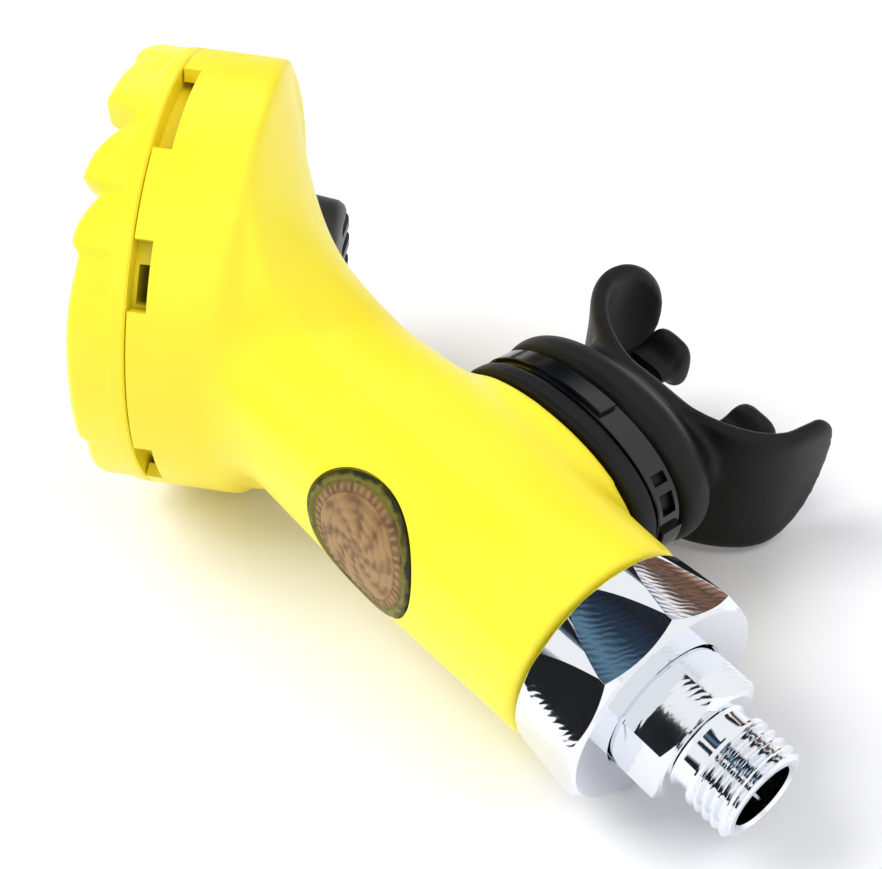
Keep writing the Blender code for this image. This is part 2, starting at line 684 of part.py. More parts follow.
# ------------------------------------------------------------------ front cover
def tooth_height(angle_deg):
    """Height of the cover's sculpted rim at an angle: ramps with steep drops."""
    period = 360.0 / TOOTH_GROUPS
    drops = sorted(((angle % period, depth) for angle, depth in TOOTH_DROPS), reverse=True)
    here = angle_deg % period
    for index, (angle, depth) in enumerate(drops):
        after = drops[(index + 1) % len(drops)][0]
        span = (angle - after) % period
        below = (angle - here) % period
        if below <= span:
            ramp = min(span, 26.0)
            if below < TOOTH_SLOPE_DEG:
                return COVER_HEIGHT - depth * below / TOOTH_SLOPE_DEG
            share = min(1.0, (below - TOOTH_SLOPE_DEG) / (ramp - TOOTH_SLOPE_DEG))
            return COVER_HEIGHT - depth * (1 - math.sin(share * math.pi / 2))
    return COVER_HEIGHT


def rim_angles():
    """Angles for the rim's points: even, with extra ones at each drop."""
    angles = set(np.arange(0.0, 360.0, 360.0 / ROUND_SIDES).round(2))
    for group in range(TOOTH_GROUPS):
        for drop, _ in TOOTH_DROPS:
            base = drop + 360.0 / TOOTH_GROUPS * group
            angles.update({round(base % 360, 2), round((base - TOOTH_SLOPE_DEG) % 360, 2)})
    kept = []
    for angle in sorted(angles):
        if not kept or angle - kept[-1] > 0.8:
            kept.append(angle)
    return kept


def cover_body():
    """Ring with a toothed front edge, a skirt, a plate and a hub, before its ports."""
    inner = DRUM_RADIUS - RIM_WALL - GAP
    rim_inner = DRUM_RADIUS - COVER_RIM_WIDTH
    plate_low = COVER_PLATE_TOP - COVER_PLATE
    hub = STEM_RADIUS + RUNNING_GAP
    sections = []
    for angle in rim_angles():
        top = tooth_height(angle)
        scoop = TOOTH_SCOOP * (COVER_HEIGHT - top) / COVER_HEIGHT * 2
        outline = [(hub, plate_low), (inner - COVER_SKIRT_WALL, plate_low),
                   (inner - COVER_SKIRT_WALL, -COVER_SKIRT_DEPTH), (inner, -COVER_SKIRT_DEPTH),
                   (inner, GAP / 2), (DRUM_RADIUS, GAP / 2), (DRUM_RADIUS, COVER_BODY_HEIGHT),
                   (DRUM_RADIUS - 0.5 - scoop, max(top - 1.6, COVER_BODY_HEIGHT)),
                   (DRUM_RADIUS - 1.4 - scoop, top - 0.3), (DRUM_RADIUS - 2.8 - scoop, top),
                   (rim_inner + 1.2, top - 0.2), (rim_inner, top - 1.2),
                   (rim_inner - 0.3, COVER_PLATE_TOP), (hub, COVER_PLATE_TOP)]
        a = math.radians(angle)
        sections.append([(r * math.cos(a), r * math.sin(a), z) for r, z in outline])
    bm = bmesh.new()
    loops = [[bm.verts.new(point) for point in section] for section in sections]
    for here, after in zip(loops, loops[1:] + loops[:1]):
        for i in range(len(here)):
            bm.faces.new((here[i - 1], here[i], after[i], after[i - 1]))
    return tidy(bm)


def make_cover(bench):
    cover = bench.piece("front_cover", cover_body(), "yellow_plastic", bench.drum)
    hub_outer, port_outer = STEM_RADIUS + 5.5, DRUM_RADIUS - COVER_RIM_WIDTH - 3.2
    pitch = 360.0 / COVER_PORTS
    for number in range(COVER_PORTS):
        outline = sector_outline(hub_outer, port_outer, pitch * number, pitch - COVER_SPOKE_DEG)
        bench.cut(cover, f"water_port_{number}",
                  prism(outline, COVER_PLATE_TOP - COVER_PLATE - 1, COVER_PLATE_TOP + 1), bench.drum)


# ------------------------------------------------------------------ purge and diaphragm
def make_purge(bench):
    edge = COVER_PLATE_TOP + PURGE_TRAVEL + 0.6
    stem_end = DIAPHRAGM_TOP + GAP
    outer = DRUM_RADIUS - COVER_RIM_WIDTH - RUNNING_GAP - 0.3
    outer = min(outer, PURGE_RADIUS)
    dome = [(outer - 1.2, edge + 2.3)]
    steps = 6
    for i in range(1, steps + 1):
        share = i / steps
        dome.append(((outer - 1.2) * (1 - share),
                     edge + 2.3 + (PURGE_DOME - edge - 2.3) * math.sin(share * math.pi / 2)))
    under = [(STEM_RADIUS, dome[-2][1] - PURGE_WALL)]
    under += [(r - PURGE_WALL * 0.4, z - PURGE_WALL) for r, z in dome[-3:0:-1]
              if r - PURGE_WALL * 0.4 > STEM_RADIUS + 1]
    profile = [(0, stem_end), (STEM_RADIUS, stem_end), *under, (outer - PURGE_WALL, edge),
               (outer, edge), (outer, edge + 1.3), *dome]
    bench.piece("purge_button", turned(profile, HIDDEN_SIDES), "black_plastic", bench.drum)
    bench.spring("purge_spring", PURGE_SPRING_RADIUS, PURGE_SPRING_WIRE, PURGE_SPRING_TURNS,
                 COVER_PLATE_TOP + GAP, dome[-2][1] - PURGE_WALL - GAP, bench.drum)


def make_diaphragm(bench):
    outer = DRUM_RADIUS - RIM_WALL - GAP
    bead_low = -LEDGE_DEPTH + GAP
    bead_top = bead_low + BEAD_HEIGHT
    ring_low = bead_top + GAP
    ring_in = outer - CLAMP_RING_WIDTH
    bench.piece("clamp_ring", turned([(ring_in, ring_low), (outer, ring_low),
                                      (outer, ring_low + CLAMP_RING_HEIGHT - GAP),
                                      (ring_in, ring_low + CLAMP_RING_HEIGHT - GAP)]),
                "black_plastic", bench.drum)
    fold_out, fold_in = ring_in - 0.6, PLATE_RADIUS + 1.5
    top, steps = [], 6
    for i in range(steps + 1):
        share = i / steps
        sag = DIAPHRAGM_FOLD * math.sin(math.pi * share) ** 2
        level = bead_top - 0.4 + (DIAPHRAGM_TOP - bead_top + 0.4) * smooth_step(share)
        top.append((fold_out + (fold_in - fold_out) * share, level - sag))
    bottom = [(r, z - DIAPHRAGM_WALL) for r, z in reversed(top)]
    profile = [(0, DIAPHRAGM_TOP - DIAPHRAGM_WALL), *bottom, (ring_in - 0.2, bead_low),
               (outer, bead_low), (outer, bead_top), (ring_in - 0.2, bead_top), *top,
               (0, DIAPHRAGM_TOP)]
    bench.piece("diaphragm", turned(profile, HIDDEN_SIDES), "clear_silicone", bench.drum)
    plate_top = DIAPHRAGM_TOP - DIAPHRAGM_WALL - GAP
    bench.piece("diaphragm_plate",
                turned([(0, plate_top - PLATE_THICKNESS), (PLATE_RADIUS, plate_top - PLATE_THICKNESS),
                        (PLATE_RADIUS, plate_top), (0, plate_top)]), "steel", bench.drum)
    return plate_top - PLATE_THICKNESS


# ------------------------------------------------------------------ valve
def make_valve(bench, plate_under):
    tube_in = TUBE_RADIUS - TUBE_WALL
    tube_out_end = inlet_shoulder()
    bench.piece("valve_tube",
                turned([(tube_in, TUBE_END_AT), (TUBE_RADIUS, TUBE_END_AT),
                        (TUBE_RADIUS, tube_out_end), (tube_in, tube_out_end)], FINE_SIDES),
                "brass", bench.barrel)
    tube = bench.pieces[-1]
    slot_low = orifice_edge() - AIR_SLOT_INSET
    bench.cut(tube, "air_slot",
              prism([(x, y) for x, y, _ in
                     oval(3 * TUBE_RADIUS, AIR_SLOT_HALF_WIDTH, 0, 6, FINE_SIDES)], slot_low,
                    slot_low + AIR_SLOT_LENGTH), bench.barrel)

    seat_back = orifice_edge() - GAP - SEAT_THICKNESS
    head_front = seat_back - GAP
    head_back = head_front - POPPET_HEAD_LENGTH
    head_radius = tube_in - RUNNING_GAP
    nut_front = TUBE_END_AT - GAP - LEVER_THICKNESS - GAP
    spindle_end = nut_front - NUT_LENGTH - 2.0
    bench.piece("poppet",
                turned([(0, spindle_end), (SPINDLE_RADIUS, spindle_end),
                        (SPINDLE_RADIUS, head_back), (head_radius, head_back),
                        (head_radius, head_front), (0, head_front)], FINE_SIDES), "brass", bench.barrel)
    bench.piece("valve_seat",
                turned([(0, seat_back), (head_radius - 0.5, seat_back),
                        (head_radius - 0.5, seat_back + SEAT_THICKNESS),
                        (0, seat_back + SEAT_THICKNESS)], FINE_SIDES), "black_silicone", bench.barrel)
    spring_back = head_back - GAP - VALVE_SPRING_LENGTH
    bench.spring("valve_spring", VALVE_SPRING_RADIUS, VALVE_SPRING_WIRE, VALVE_SPRING_TURNS,
                 spring_back, head_back - GAP, bench.barrel)
    bush_front = spring_back - GAP
    bench.piece("spring_bush",
                turned([(SPINDLE_RADIUS + RUNNING_GAP / 2, bush_front - BUSH_LENGTH),
                        (tube_in - GAP, bush_front - BUSH_LENGTH), (tube_in - GAP, bush_front),
                        (SPINDLE_RADIUS + RUNNING_GAP / 2, bush_front)], FINE_SIDES),
                "brass", bench.barrel)
    hexagon = [(NUT_RADIUS * math.cos(math.radians(a)), NUT_RADIUS * math.sin(math.radians(a)))
               for a in range(0, 360, 60)]
    nut = bench.piece("lever_nut", prism(hexagon, nut_front - NUT_LENGTH, nut_front),
                      "steel", bench.barrel)
    bench.cut(nut, "nut_hole",
              turned([(0, nut_front - NUT_LENGTH - 1), (SPINDLE_RADIUS + GAP, nut_front - NUT_LENGTH - 1),
                      (SPINDLE_RADIUS + GAP, nut_front + 1), (0, nut_front + 1)], FINE_SIDES),
              bench.barrel)
    make_lever(bench, nut_front + GAP, plate_under)


def drum_point(bench, across, out):
    """A point of the drum frame's mid-plane, in bench x and y."""
    point = bench.drum_axes @ Vector((across, 0.0, out))
    return point.x, point.y


def make_lever(bench, plate_back, plate_under):
    """Bent strip: a foot that rocks on the tube's end, and an arm to the diaphragm."""
    tip_radius = 0.9
    tip = drum_point(bench, LEVER_TIP_ACROSS, plate_under - GAP - tip_radius)
    near = drum_point(bench, LEVER_TIP_ACROSS + 5.0, plate_under - GAP - tip_radius - 3.0)
    foot_x = plate_back + LEVER_THICKNESS / 2
    centre = [(foot_x, -LEVER_PIVOT_Y), (foot_x, LEVER_PIVOT_Y + 1.0),
              (foot_x - 3.0, LEVER_PIVOT_Y + 3.0), (foot_x - 8.0, LEVER_PIVOT_Y + 2.6), near, tip]
    path = [Vector((*point, 0.0)) for point in centre]
    left, right = [], []
    for i, point in enumerate(path):
        before = path[max(i - 1, 0)]
        after = path[min(i + 1, len(path) - 1)]
        along = (after - before).normalized()
        side = Vector((-along.y, along.x, 0.0)) * LEVER_THICKNESS / 2
        if i == 1:
            side = Vector((-LEVER_THICKNESS / 2, 0.0, 0.0))
        left.append(point + side)
        right.append(point - side)
    outline = [(p.x, p.y) for p in left + right[::-1]]
    pivot = (foot_x + LEVER_THICKNESS / 2, LEVER_PIVOT_Y, 0.0)
    half = (LEVER_WIDTH + LEVER_FOOT_EXTRA) / 2
    lever = bench.piece("lever", prism(outline, -half, half), "steel", bench.bench, origin=pivot)
    waist = foot_x - 6.0
    room = 2 * DRUM_RADIUS
    for side in (-1, 1):
        bench.cut(lever, f"lever_waist_{side}",
                  block((room, room, LEVER_FOOT_EXTRA),
                        (waist - room / 2, 0.0, side * (LEVER_WIDTH + LEVER_FOOT_EXTRA) / 2)),
                  bench.bench)
    clearance = SPINDLE_RADIUS + 0.6
    bench.cut(lever, "lever_slot",
              prism([(x, y) for x, y, _ in oval(clearance + 0.8, clearance, 0, 2, FINE_SIDES)],
                    foot_x - 4.0, foot_x + 4.0), bench.barrel)
    return pivot


# ------------------------------------------------------------------ inlet
def make_inlet(bench):
    end = SEAM_TO_THREAD_END
    relief_end = end - THREAD_LENGTH
    hex_front = relief_end - RELIEF_LENGTH
    hex_back = collar_front() + GAP
    chamfer = 0.9
    socket = collar_front() - COLLAR_FACE - GAP
    blank = turned([(0, inlet_shoulder() + GAP), (INLET_SPIGOT_RADIUS, inlet_shoulder() + GAP),
                    (INLET_SPIGOT_RADIUS, socket), (HEX_CORNER_ROUND, socket),
                    (HEX_CORNER_ROUND, hex_back),
                    (HEX_CORNER_ROUND + 0.5, hex_back + 0.6),
                    (HEX_CORNER_ROUND + 0.5, hex_front - chamfer),
                    (HEX_ACROSS_FLATS / 2 - 0.2, hex_front), (RELIEF_RADIUS, hex_front),
                    (RELIEF_RADIUS, relief_end), (THREAD_RADIUS, relief_end + 0.6),
                    (THREAD_RADIUS, end - THREAD_CHAMFER), (THREAD_RADIUS - THREAD_CHAMFER, end),
                    (0, end)], ROUND_SIDES)
    fitting = bench.piece("inlet_fitting", blank, "chrome", bench.barrel)
    flat, room = HEX_ACROSS_FLATS / 2, 2 * HEX_CORNER_ROUND
    for side in range(6):
        bm = block((room, 2 * room, hex_front + 1 - hex_back),
                   (flat + room / 2, 0.0, (hex_front + 1 + hex_back) / 2))
        turn = Matrix.Rotation(math.radians(60 * side + HEX_TURN_DEG), 4, "Z")
        bmesh.ops.transform(bm, matrix=turn, verts=bm.verts)
        bench.cut(fitting, f"hex_flat_{side}", bm, bench.barrel)
    seat = end - INLET_BORE_DEPTH
    bench.cut(fitting, "inlet_bore",
              turned([(0, inlet_shoulder() - 3), (ORIFICE_BODY_RADIUS + GAP, inlet_shoulder() - 3),
                      (ORIFICE_BODY_RADIUS + GAP, orifice_edge() + ORIFICE_LENGTH + GAP),
                      (ORIFICE_BORE + 0.6, orifice_edge() + ORIFICE_LENGTH + GAP),
                      (ORIFICE_BORE + 0.6, seat), (INLET_BORE_RADIUS, seat + 1.6),
                      (INLET_BORE_RADIUS, end + 2), (0, end + 2)], FINE_SIDES), bench.barrel)
    tip = orifice_edge()
    bench.piece("orifice",
                turned([(ORIFICE_BORE, tip), (ORIFICE_EDGE_RADIUS - 0.3, tip),
                        (ORIFICE_EDGE_RADIUS, tip + 0.6), (ORIFICE_EDGE_RADIUS, tip + 3),
                        (ORIFICE_BODY_RADIUS, tip + 4.5),
                        (ORIFICE_BODY_RADIUS, tip + ORIFICE_LENGTH),
                        (ORIFICE_BORE, tip + ORIFICE_LENGTH)], FINE_SIDES), "brass", bench.barrel)


def make_collar(bench):
    back, front = collar_back(), collar_front()
    blank = turned([(0, back), (COLLAR_BACK_RADIUS, back), (COLLAR_FRONT_RADIUS, front - COLLAR_LIP),
                    (COLLAR_LIP_RADIUS, front), (0, front)], 2 * COLLAR_FLATS * 4)
    tilt = math.atan2(FLAT_FRONT_DISTANCE - FLAT_BACK_DISTANCE, COLLAR_LENGTH)
    for number in range(COLLAR_FLATS):
        turn = math.radians(COLLAR_TURN_DEG + 360.0 * number / COLLAR_FLATS)
        normal = Vector((math.cos(turn) * math.cos(tilt), math.sin(turn) * math.cos(tilt),
                         -math.sin(tilt)))
        point = Vector((math.cos(turn) * FLAT_BACK_DISTANCE, math.sin(turn) * FLAT_BACK_DISTANCE,
                        back))
        cut = bmesh.ops.bisect_plane(blank, geom=blank.verts[:] + blank.edges[:] + blank.faces[:],
                                     plane_co=point, plane_no=normal, clear_outer=True, dist=1e-5)
        rim = [e for e in cut["geom_cut"] if isinstance(e, bmesh.types.BMEdge)]
        bmesh.ops.holes_fill(blank, edges=rim, sides=0)
    collar = bench.piece("collar", tidy(blank), "chrome", bench.barrel, sharp_deg=8.0)
    socket = front - COLLAR_FACE
    bench.cut(collar, "collar_bore",
              turned([(0, back - 2), (SPIGOT_RADIUS + GAP, back - 2), (SPIGOT_RADIUS + GAP, socket),
                      (HEX_CORNER_ROUND + GAP, socket), (HEX_CORNER_ROUND + GAP, front + 2),
                      (0, front + 2)]), bench.barrel)


# ------------------------------------------------------------------ mouthpiece
def shield_path(share):
    """Middle line of the lip shield seen from above: a half ellipse with straight wings."""
    side, along = math.copysign(1.0, share), abs(share)
    base = PORT_FACE + SLEEVE_LENGTH
    if along < SHIELD_BEND_SHARE:
        angle = along / SHIELD_BEND_SHARE * math.pi / 2
        return Vector((side * SHIELD_HALF_WIDTH * math.sin(angle), 0.0,
                       base + SHIELD_SWEEP * (1 - math.cos(angle))))
    run = (along - SHIELD_BEND_SHARE) / (1 - SHIELD_BEND_SHARE)
    return Vector((side * (SHIELD_HALF_WIDTH - WING_CURL * run ** 2), 0.0,
                   base + SHIELD_SWEEP + WING_LENGTH * run))


def shield_solid():
    """Curved lip shield: a bent plate, lower at the bottom, with fin-shaped wings."""
    steps, rows = 18, 6
    front, back = [], []
    for i in range(steps + 1):
        share = -1 + 2 * i / steps
        place = shield_path(share)
        along = shield_path(min(1.0, share + 0.02)) - shield_path(max(-1.0, share - 0.02))
        normal = Vector((along.z, 0.0, -along.x)).normalized()
        wing = smooth_step(abs(share) * 1.6)
        top = SHIELD_TOP[0] + (SHIELD_TOP[1] - SHIELD_TOP[0]) * wing
        bottom = SHIELD_BOTTOM[0] + (SHIELD_BOTTOM[1] - SHIELD_BOTTOM[0]) * wing
        fin = math.sqrt(max(0.03, 1 - max(0.0, (abs(share) - 0.6) / 0.4) ** 2.4))
        for j in range(rows + 1):
            up = math.sin(math.radians(-90 + 180 * j / rows))
            edge = 1 - 0.45 * abs(up) ** 4
            centre = place + Vector((0.0, (bottom - top) / 2 + (bottom + top) / 2 * fin * up, 0.0))
            front.append(centre + normal * SHIELD_THICKNESS / 2 * edge)
            back.append(centre - normal * SHIELD_THICKNESS / 2 * edge)
    bm = bmesh.new()
    near = [bm.verts.new(p) for p in front]
    far = [bm.verts.new(p) for p in back]
    width = rows + 1
    for i in range(steps):
        for j in range(rows):
            a = i * width + j
            bm.faces.new((near[a], near[a + width], near[a + width + 1], near[a + 1]))
            bm.faces.new((far[a], far[a + 1], far[a + width + 1], far[a + width]))
    border = [i * width for i in range(steps + 1)]
    border += [steps * width + j for j in range(1, rows + 1)]
    border += [i * width + rows for i in range(steps - 1, -1, -1)]
    border += [j for j in range(rows - 1, 0, -1)]
    for a, b in zip(border, border[1:] + border[:1]):
        bm.faces.new((near[a], near[b], far[b], far[a]))
    return turned_aside(tidy(bm))


def turned_aside(bm):
    """Turned about the sleeve's end, so that the wing near the inlet comes closer to it."""
    centre = Vector((0.0, 0.0, PORT_FACE + SLEEVE_LENGTH))
    turn = Matrix.Translation(centre) @ Matrix.Rotation(math.radians(SHIELD_TURN_DEG), 4, "Y")
    bmesh.ops.transform(bm, matrix=turn @ Matrix.Translation(-centre), verts=bm.verts)
    return bm


def make_mouthpiece(bench):
    face = PORT_FACE + GAP
    bead_end = face + BEAD_LENGTH
    groove_end = bead_end + GROOVE_LENGTH
    plate = PORT_FACE + SLEEVE_LENGTH
    stations = [(*PORT_HALF, face), (PORT_HALF[0] + 0.3, PORT_HALF[1] + 0.3, face + 1.0),
                (PORT_HALF[0] + 0.3, PORT_HALF[1] + 0.3, bead_end - 0.8),
                (PORT_HALF[0] - 0.6, PORT_HALF[1] - 0.6, bead_end),
                (*GROOVE_HALF, bead_end), (*GROOVE_HALF, groove_end),
                (PORT_HALF[0] - 0.2, PORT_HALF[1] - 0.2, groove_end),
                (*SLEEVE_HALF, groove_end + 1.2), (*SLEEVE_HALF, groove_end + 4.6),
                (SLEEVE_HALF[0] - 2.2, SLEEVE_HALF[1] - 2.2, plate - 2.4),
                (*NECK_HALF, plate + 1.6)]
    rings = []
    for index, (half_x, half_y, z) in enumerate(stations):
        rings.append(oval(half_x, half_y, z + index * 1e-3, 2.5, SLEEVE_SIDES))
    mouthpiece = bench.piece("mouthpiece", lofted(rings), "black_silicone", bench.mouth)
    bench.join(mouthpiece, "lip_shield", shield_solid(), bench.mouth)
    reach = PORT_FACE + TAB_REACH
    for side in (-1, 1):
        half, nub = TAB_WIDTH / 2, NUB_HALF_HEIGHT
        outline = [(half, TAB_THICKNESS / 2, plate - 0.7),
                   (half, TAB_THICKNESS / 2, reach - NUB_THICKNESS - 1.0),
                   (half, nub - 0.8, reach - NUB_THICKNESS), (half, nub, reach - NUB_THICKNESS + 0.8),
                   (half, nub, reach - 0.8), (half - 0.7, nub - 0.8, reach)]
        tab = lofted([[(side * TAB_OFFSET + x, y + TAB_DROP, z) for x, y, z in oval(*ring, 4.0, FINE_SIDES)]
                      for ring in outline])
        bench.join(mouthpiece, f"bite_tab_{side}", turned_aside(tab), bench.mouth)
    stub_end = PORT_FACE + STUB_LENGTH
    pocket = [oval(STUB_HALF[0] + GAP, STUB_HALF[1] + GAP, z, 2.5, SLEEVE_SIDES)
              for z in (PORT_FACE - 2, stub_end + GAP)]
    bench.cut(mouthpiece, "stub_pocket", lofted(pocket), bench.mouth)
    bore = [oval(STUB_HALF[0] - STUB_WALL, STUB_HALF[1] - STUB_WALL, stub_end - 2, 2.5, SLEEVE_SIDES),
            oval(*MOUTH_BORE_HALF, plate, 2.5, SLEEVE_SIDES),
            oval(*MOUTH_BORE_HALF, plate + 12, 2.5, SLEEVE_SIDES)]
    bench.cut(mouthpiece, "mouth_bore", lofted(bore), bench.mouth)

    tie_low = bead_end + (GROOVE_LENGTH - TIE_WIDTH) / 2
    tie = [oval(GROOVE_HALF[0] + GAP + TIE_THICKNESS, GROOVE_HALF[1] + GAP + TIE_THICKNESS, z,
                2.5, SLEEVE_SIDES) for z in (tie_low, tie_low + TIE_WIDTH)]
    strap = bench.piece("mouthpiece_tie", lofted(tie), "gloss_nylon", bench.mouth)
    head = bevelled(block(TIE_HEAD, (TIE_HEAD_AT, -GROOVE_HALF[1] - TIE_THICKNESS * 0.6,
                                     tie_low + TIE_WIDTH / 2)), 0.5)
    bench.join(strap, "tie_head", head, bench.mouth)
    inside = [oval(GROOVE_HALF[0] + GAP, GROOVE_HALF[1] + GAP, z, 2.5, SLEEVE_SIDES)
              for z in (tie_low - 2, tie_low + TIE_WIDTH + 2)]
    bench.cut(strap, "tie_inside", lofted(inside), bench.mouth)


# ------------------------------------------------------------------ exhaust and badge
def exhaust_ring(half_x, half_y, z):
    return [(EXHAUST_AT[0] + x, EXHAUST_AT[1] + y, z) for x, y, z in oval(half_x, half_y, z, 2.4, FINE_SIDES)]


def make_exhaust(bench):
    back = -DRUM_DEPTH
    flap_top = back - GAP
    flap = turned([(0, flap_top - FLAP_THICKNESS), (FLAP_RADIUS, flap_top - FLAP_THICKNESS * 0.6),
                   (FLAP_RADIUS, flap_top), (FLAP_STEM_RADIUS, flap_top),
                   (FLAP_STEM_RADIUS, back + BACK_WALL), (0, back + BACK_WALL)], FINE_SIDES)
    bmesh.ops.translate(flap, vec=(*EXHAUST_AT, 0), verts=flap.verts)
    bench.piece("exhaust_flap", flap, "clear_silicone", bench.drum, origin=(*EXHAUST_AT, flap_top))
    half_x, half_y = EXHAUST_COVER_HALF
    low = back - GAP - EXHAUST_COVER_HEIGHT
    outer = lofted([exhaust_ring(half_x * grow, half_y * grow, z)
                    for grow, z in ((0.80, low), (0.92, low + 1.2), (1.0, back - GAP))])
    cover = bench.piece("exhaust_cover", outer, "black_plastic", bench.drum)
    wall = EXHAUST_COVER_WALL
    inner = lofted([exhaust_ring((half_x - wall) * grow, (half_y - wall) * grow, z)
                    for grow, z in ((0.85, low + wall), (1.0, back + 1))])
    bench.cut(cover, "exhaust_hollow", inner, bench.drum)
    pitch = 2 * (half_y - 3.0) / EXHAUST_SLOTS
    for number in range(EXHAUST_SLOTS):
        y = EXHAUST_AT[1] - half_y + 3.0 + pitch * (number + 0.5)
        slot = block((half_x * 1.1, EXHAUST_SLOT_WIDTH, 6.0), (EXHAUST_AT[0] - half_x * 0.55, y, low))
        bench.cut(cover, f"exhaust_slot_{number}", slot, bench.drum)


def make_badge(bench, housing):
    recess = barrel_shell(-BADGE_RECESS)
    pocket = badge_shape(GAP, 0.0, DRUM_RADIUS)
    bench.cut(housing, "badge_pocket", pocket, bench.barrel)
    floor = bench.tool("badge_floor", recess, bench.bench)
    modifier = housing.modifiers["badge_pocket"].object.modifiers.new("floor", "BOOLEAN")
    modifier.operation = "DIFFERENCE"
    modifier.object = floor
    badge = bench.piece("badge", badge_shape(0.0, 0.0, DRUM_RADIUS), "copper", bench.barrel)
    bench.combine(badge, "INTERSECT", "badge_skin", barrel_shell(BADGE_THICKNESS - BADGE_RECESS),
                  bench.bench)
    bench.cut(badge, "badge_under", barrel_shell(GAP - BADGE_RECESS), bench.bench)


# ------------------------------------------------------------------ resting place
def world_points(obj):
    evaluated = obj.evaluated_get(bpy.context.evaluated_depsgraph_get())
    mesh = evaluated.to_mesh()
    points = np.empty(3 * len(mesh.vertices))
    mesh.vertices.foreach_get("co", points)
    matrix = np.array(obj.matrix_world)
    evaluated.to_mesh_clear()
    return points.reshape(-1, 3) @ matrix[:3, :3].T + matrix[:3, 3]


def lie_down(bench):
    """Turn the bench so that drum, collar and mouthpiece rest on one plane at z = 0."""
    bpy.context.view_layer.update()
    by_name = {obj.name: obj for obj in bench.pieces}
    feet = [np.vstack([world_points(by_name[name]) for name in names])
            for names in (("front_cover", "housing"), ("collar", "inlet_fitting"), ("mouthpiece",))]
    up = np.array([0.0, 0.0, 1.0])
    for _ in range(20):
        lowest = [points[np.argmin(points @ up)] for points in feet]
        up = np.cross(lowest[1] - lowest[0], lowest[2] - lowest[0])
        up *= np.sign(up[2]) / np.linalg.norm(up)
    forward = np.array([1.0, 0.0, 0.0])
    forward -= up * (up @ forward)
    forward /= np.linalg.norm(forward)
    side = np.cross(up, forward)
    bench.bench.matrix_local = Matrix((forward, side, up)).to_4x4()
    bpy.context.view_layer.update()
    points = np.vstack([world_points(obj) for obj in bench.pieces])
    low, high = points.min(axis=0), points.max(axis=0)
    centre = Vector((-(low[0] + high[0]) / 2, -(low[1] + high[1]) / 2, -low[2]))
    bench.bench.matrix_local = Matrix.Translation(centre) @ bench.bench.matrix_local
    bpy.context.view_layer.update()
    print("size", [round(float(v) * 1000, 2) for v in high - low])
    print("feet", [[round(float(v) * 1000, 2) for v in foot] for foot in lowest])


def report(bench):
    """Joint axes and mounting points in world coordinates, in metres."""
    world = bench.bench.matrix_world
    outward = (world @ bench.drum_axes).to_3x3() @ Vector((0, 0, 1))
    along = world.to_3x3() @ Vector((1, 0, 0))
    spin = world.to_3x3() @ Vector((0, 0, -1))
    pivot = world @ (Vector((TUBE_END_AT - GAP, LEVER_PIVOT_Y, 0)) * MM)
    end = world @ (Vector((SEAM_TO_THREAD_END, 0, 0)) * MM)
    mouth = world @ (Vector((PORT_AT, PORT_FACE + SLEEVE_LENGTH, 0)) * MM)
    for name, vector in (("cover outward", outward), ("barrel along", along),
                         ("lever axis", spin), ("lever pivot", pivot), ("thread end", end),
                         ("mouth", mouth), ("origin of frames", world.translation)):
        print(name, [round(v, 6) for v in vector])


def main():
    for obj in list(bpy.data.objects):
        bpy.data.objects.remove(obj, do_unlink=True)
    bench = Bench()
    housing = make_housing(bench)
    make_badge(bench, housing)
    make_cover(bench)
    make_purge(bench)
    plate_under = make_diaphragm(bench)
    make_valve(bench, plate_under)
    make_inlet(bench)
    make_collar(bench)
    make_mouthpiece(bench)
    make_exhaust(bench)
    lie_down(bench)
    report(bench)


main()
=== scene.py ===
# %% [markdown]
# # The second stage of a scuba regulator
#
# The real thing is a hollow yellow moulding: a flat drum that holds a diaphragm, and a barrel that
# grows out of it and ends in chromed brass.  A soft black mouthpiece is tied to the barrel's rear.
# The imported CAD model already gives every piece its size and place.  This script dresses it: it
# keeps the pieces that nobody sees from outside, and models the visible ones again with the
# roundings, threads and wear that make them look real.

# %% Load the CAD frame
import json
import math

import bmesh
import bpy
import numpy as np
from mathutils import Matrix, Vector


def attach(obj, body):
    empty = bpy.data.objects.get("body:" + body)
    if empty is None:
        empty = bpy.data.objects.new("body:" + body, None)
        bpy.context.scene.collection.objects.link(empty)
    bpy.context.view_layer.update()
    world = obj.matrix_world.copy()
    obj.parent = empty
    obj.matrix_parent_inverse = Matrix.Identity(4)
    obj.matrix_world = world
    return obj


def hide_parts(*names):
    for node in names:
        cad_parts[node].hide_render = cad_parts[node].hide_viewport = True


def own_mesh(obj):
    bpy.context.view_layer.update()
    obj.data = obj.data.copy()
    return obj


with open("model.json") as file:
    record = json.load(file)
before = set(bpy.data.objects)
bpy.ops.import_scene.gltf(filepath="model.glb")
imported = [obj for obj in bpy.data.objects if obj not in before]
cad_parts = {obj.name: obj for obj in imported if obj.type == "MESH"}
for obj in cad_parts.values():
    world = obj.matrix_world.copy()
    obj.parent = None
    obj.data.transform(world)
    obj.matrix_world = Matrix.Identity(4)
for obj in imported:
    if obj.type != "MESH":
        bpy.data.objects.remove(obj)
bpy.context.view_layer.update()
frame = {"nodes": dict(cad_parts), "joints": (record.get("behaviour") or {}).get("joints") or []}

MM = 0.001

# %% [markdown]
# ## Four rulers instead of one
#
# The part lies tilted on the floor, so the floor's X, Y and Z are awkward for building.  The
# joints in the record say where the barrel, the drum and the valve lever really point.  From them
# come four frames: the bench (x along the barrel), the drum (z out of the cover), the barrel
# (z along it) and the mouth (z out to the diver).  Every shape below is written in one of them,
# in millimetres.

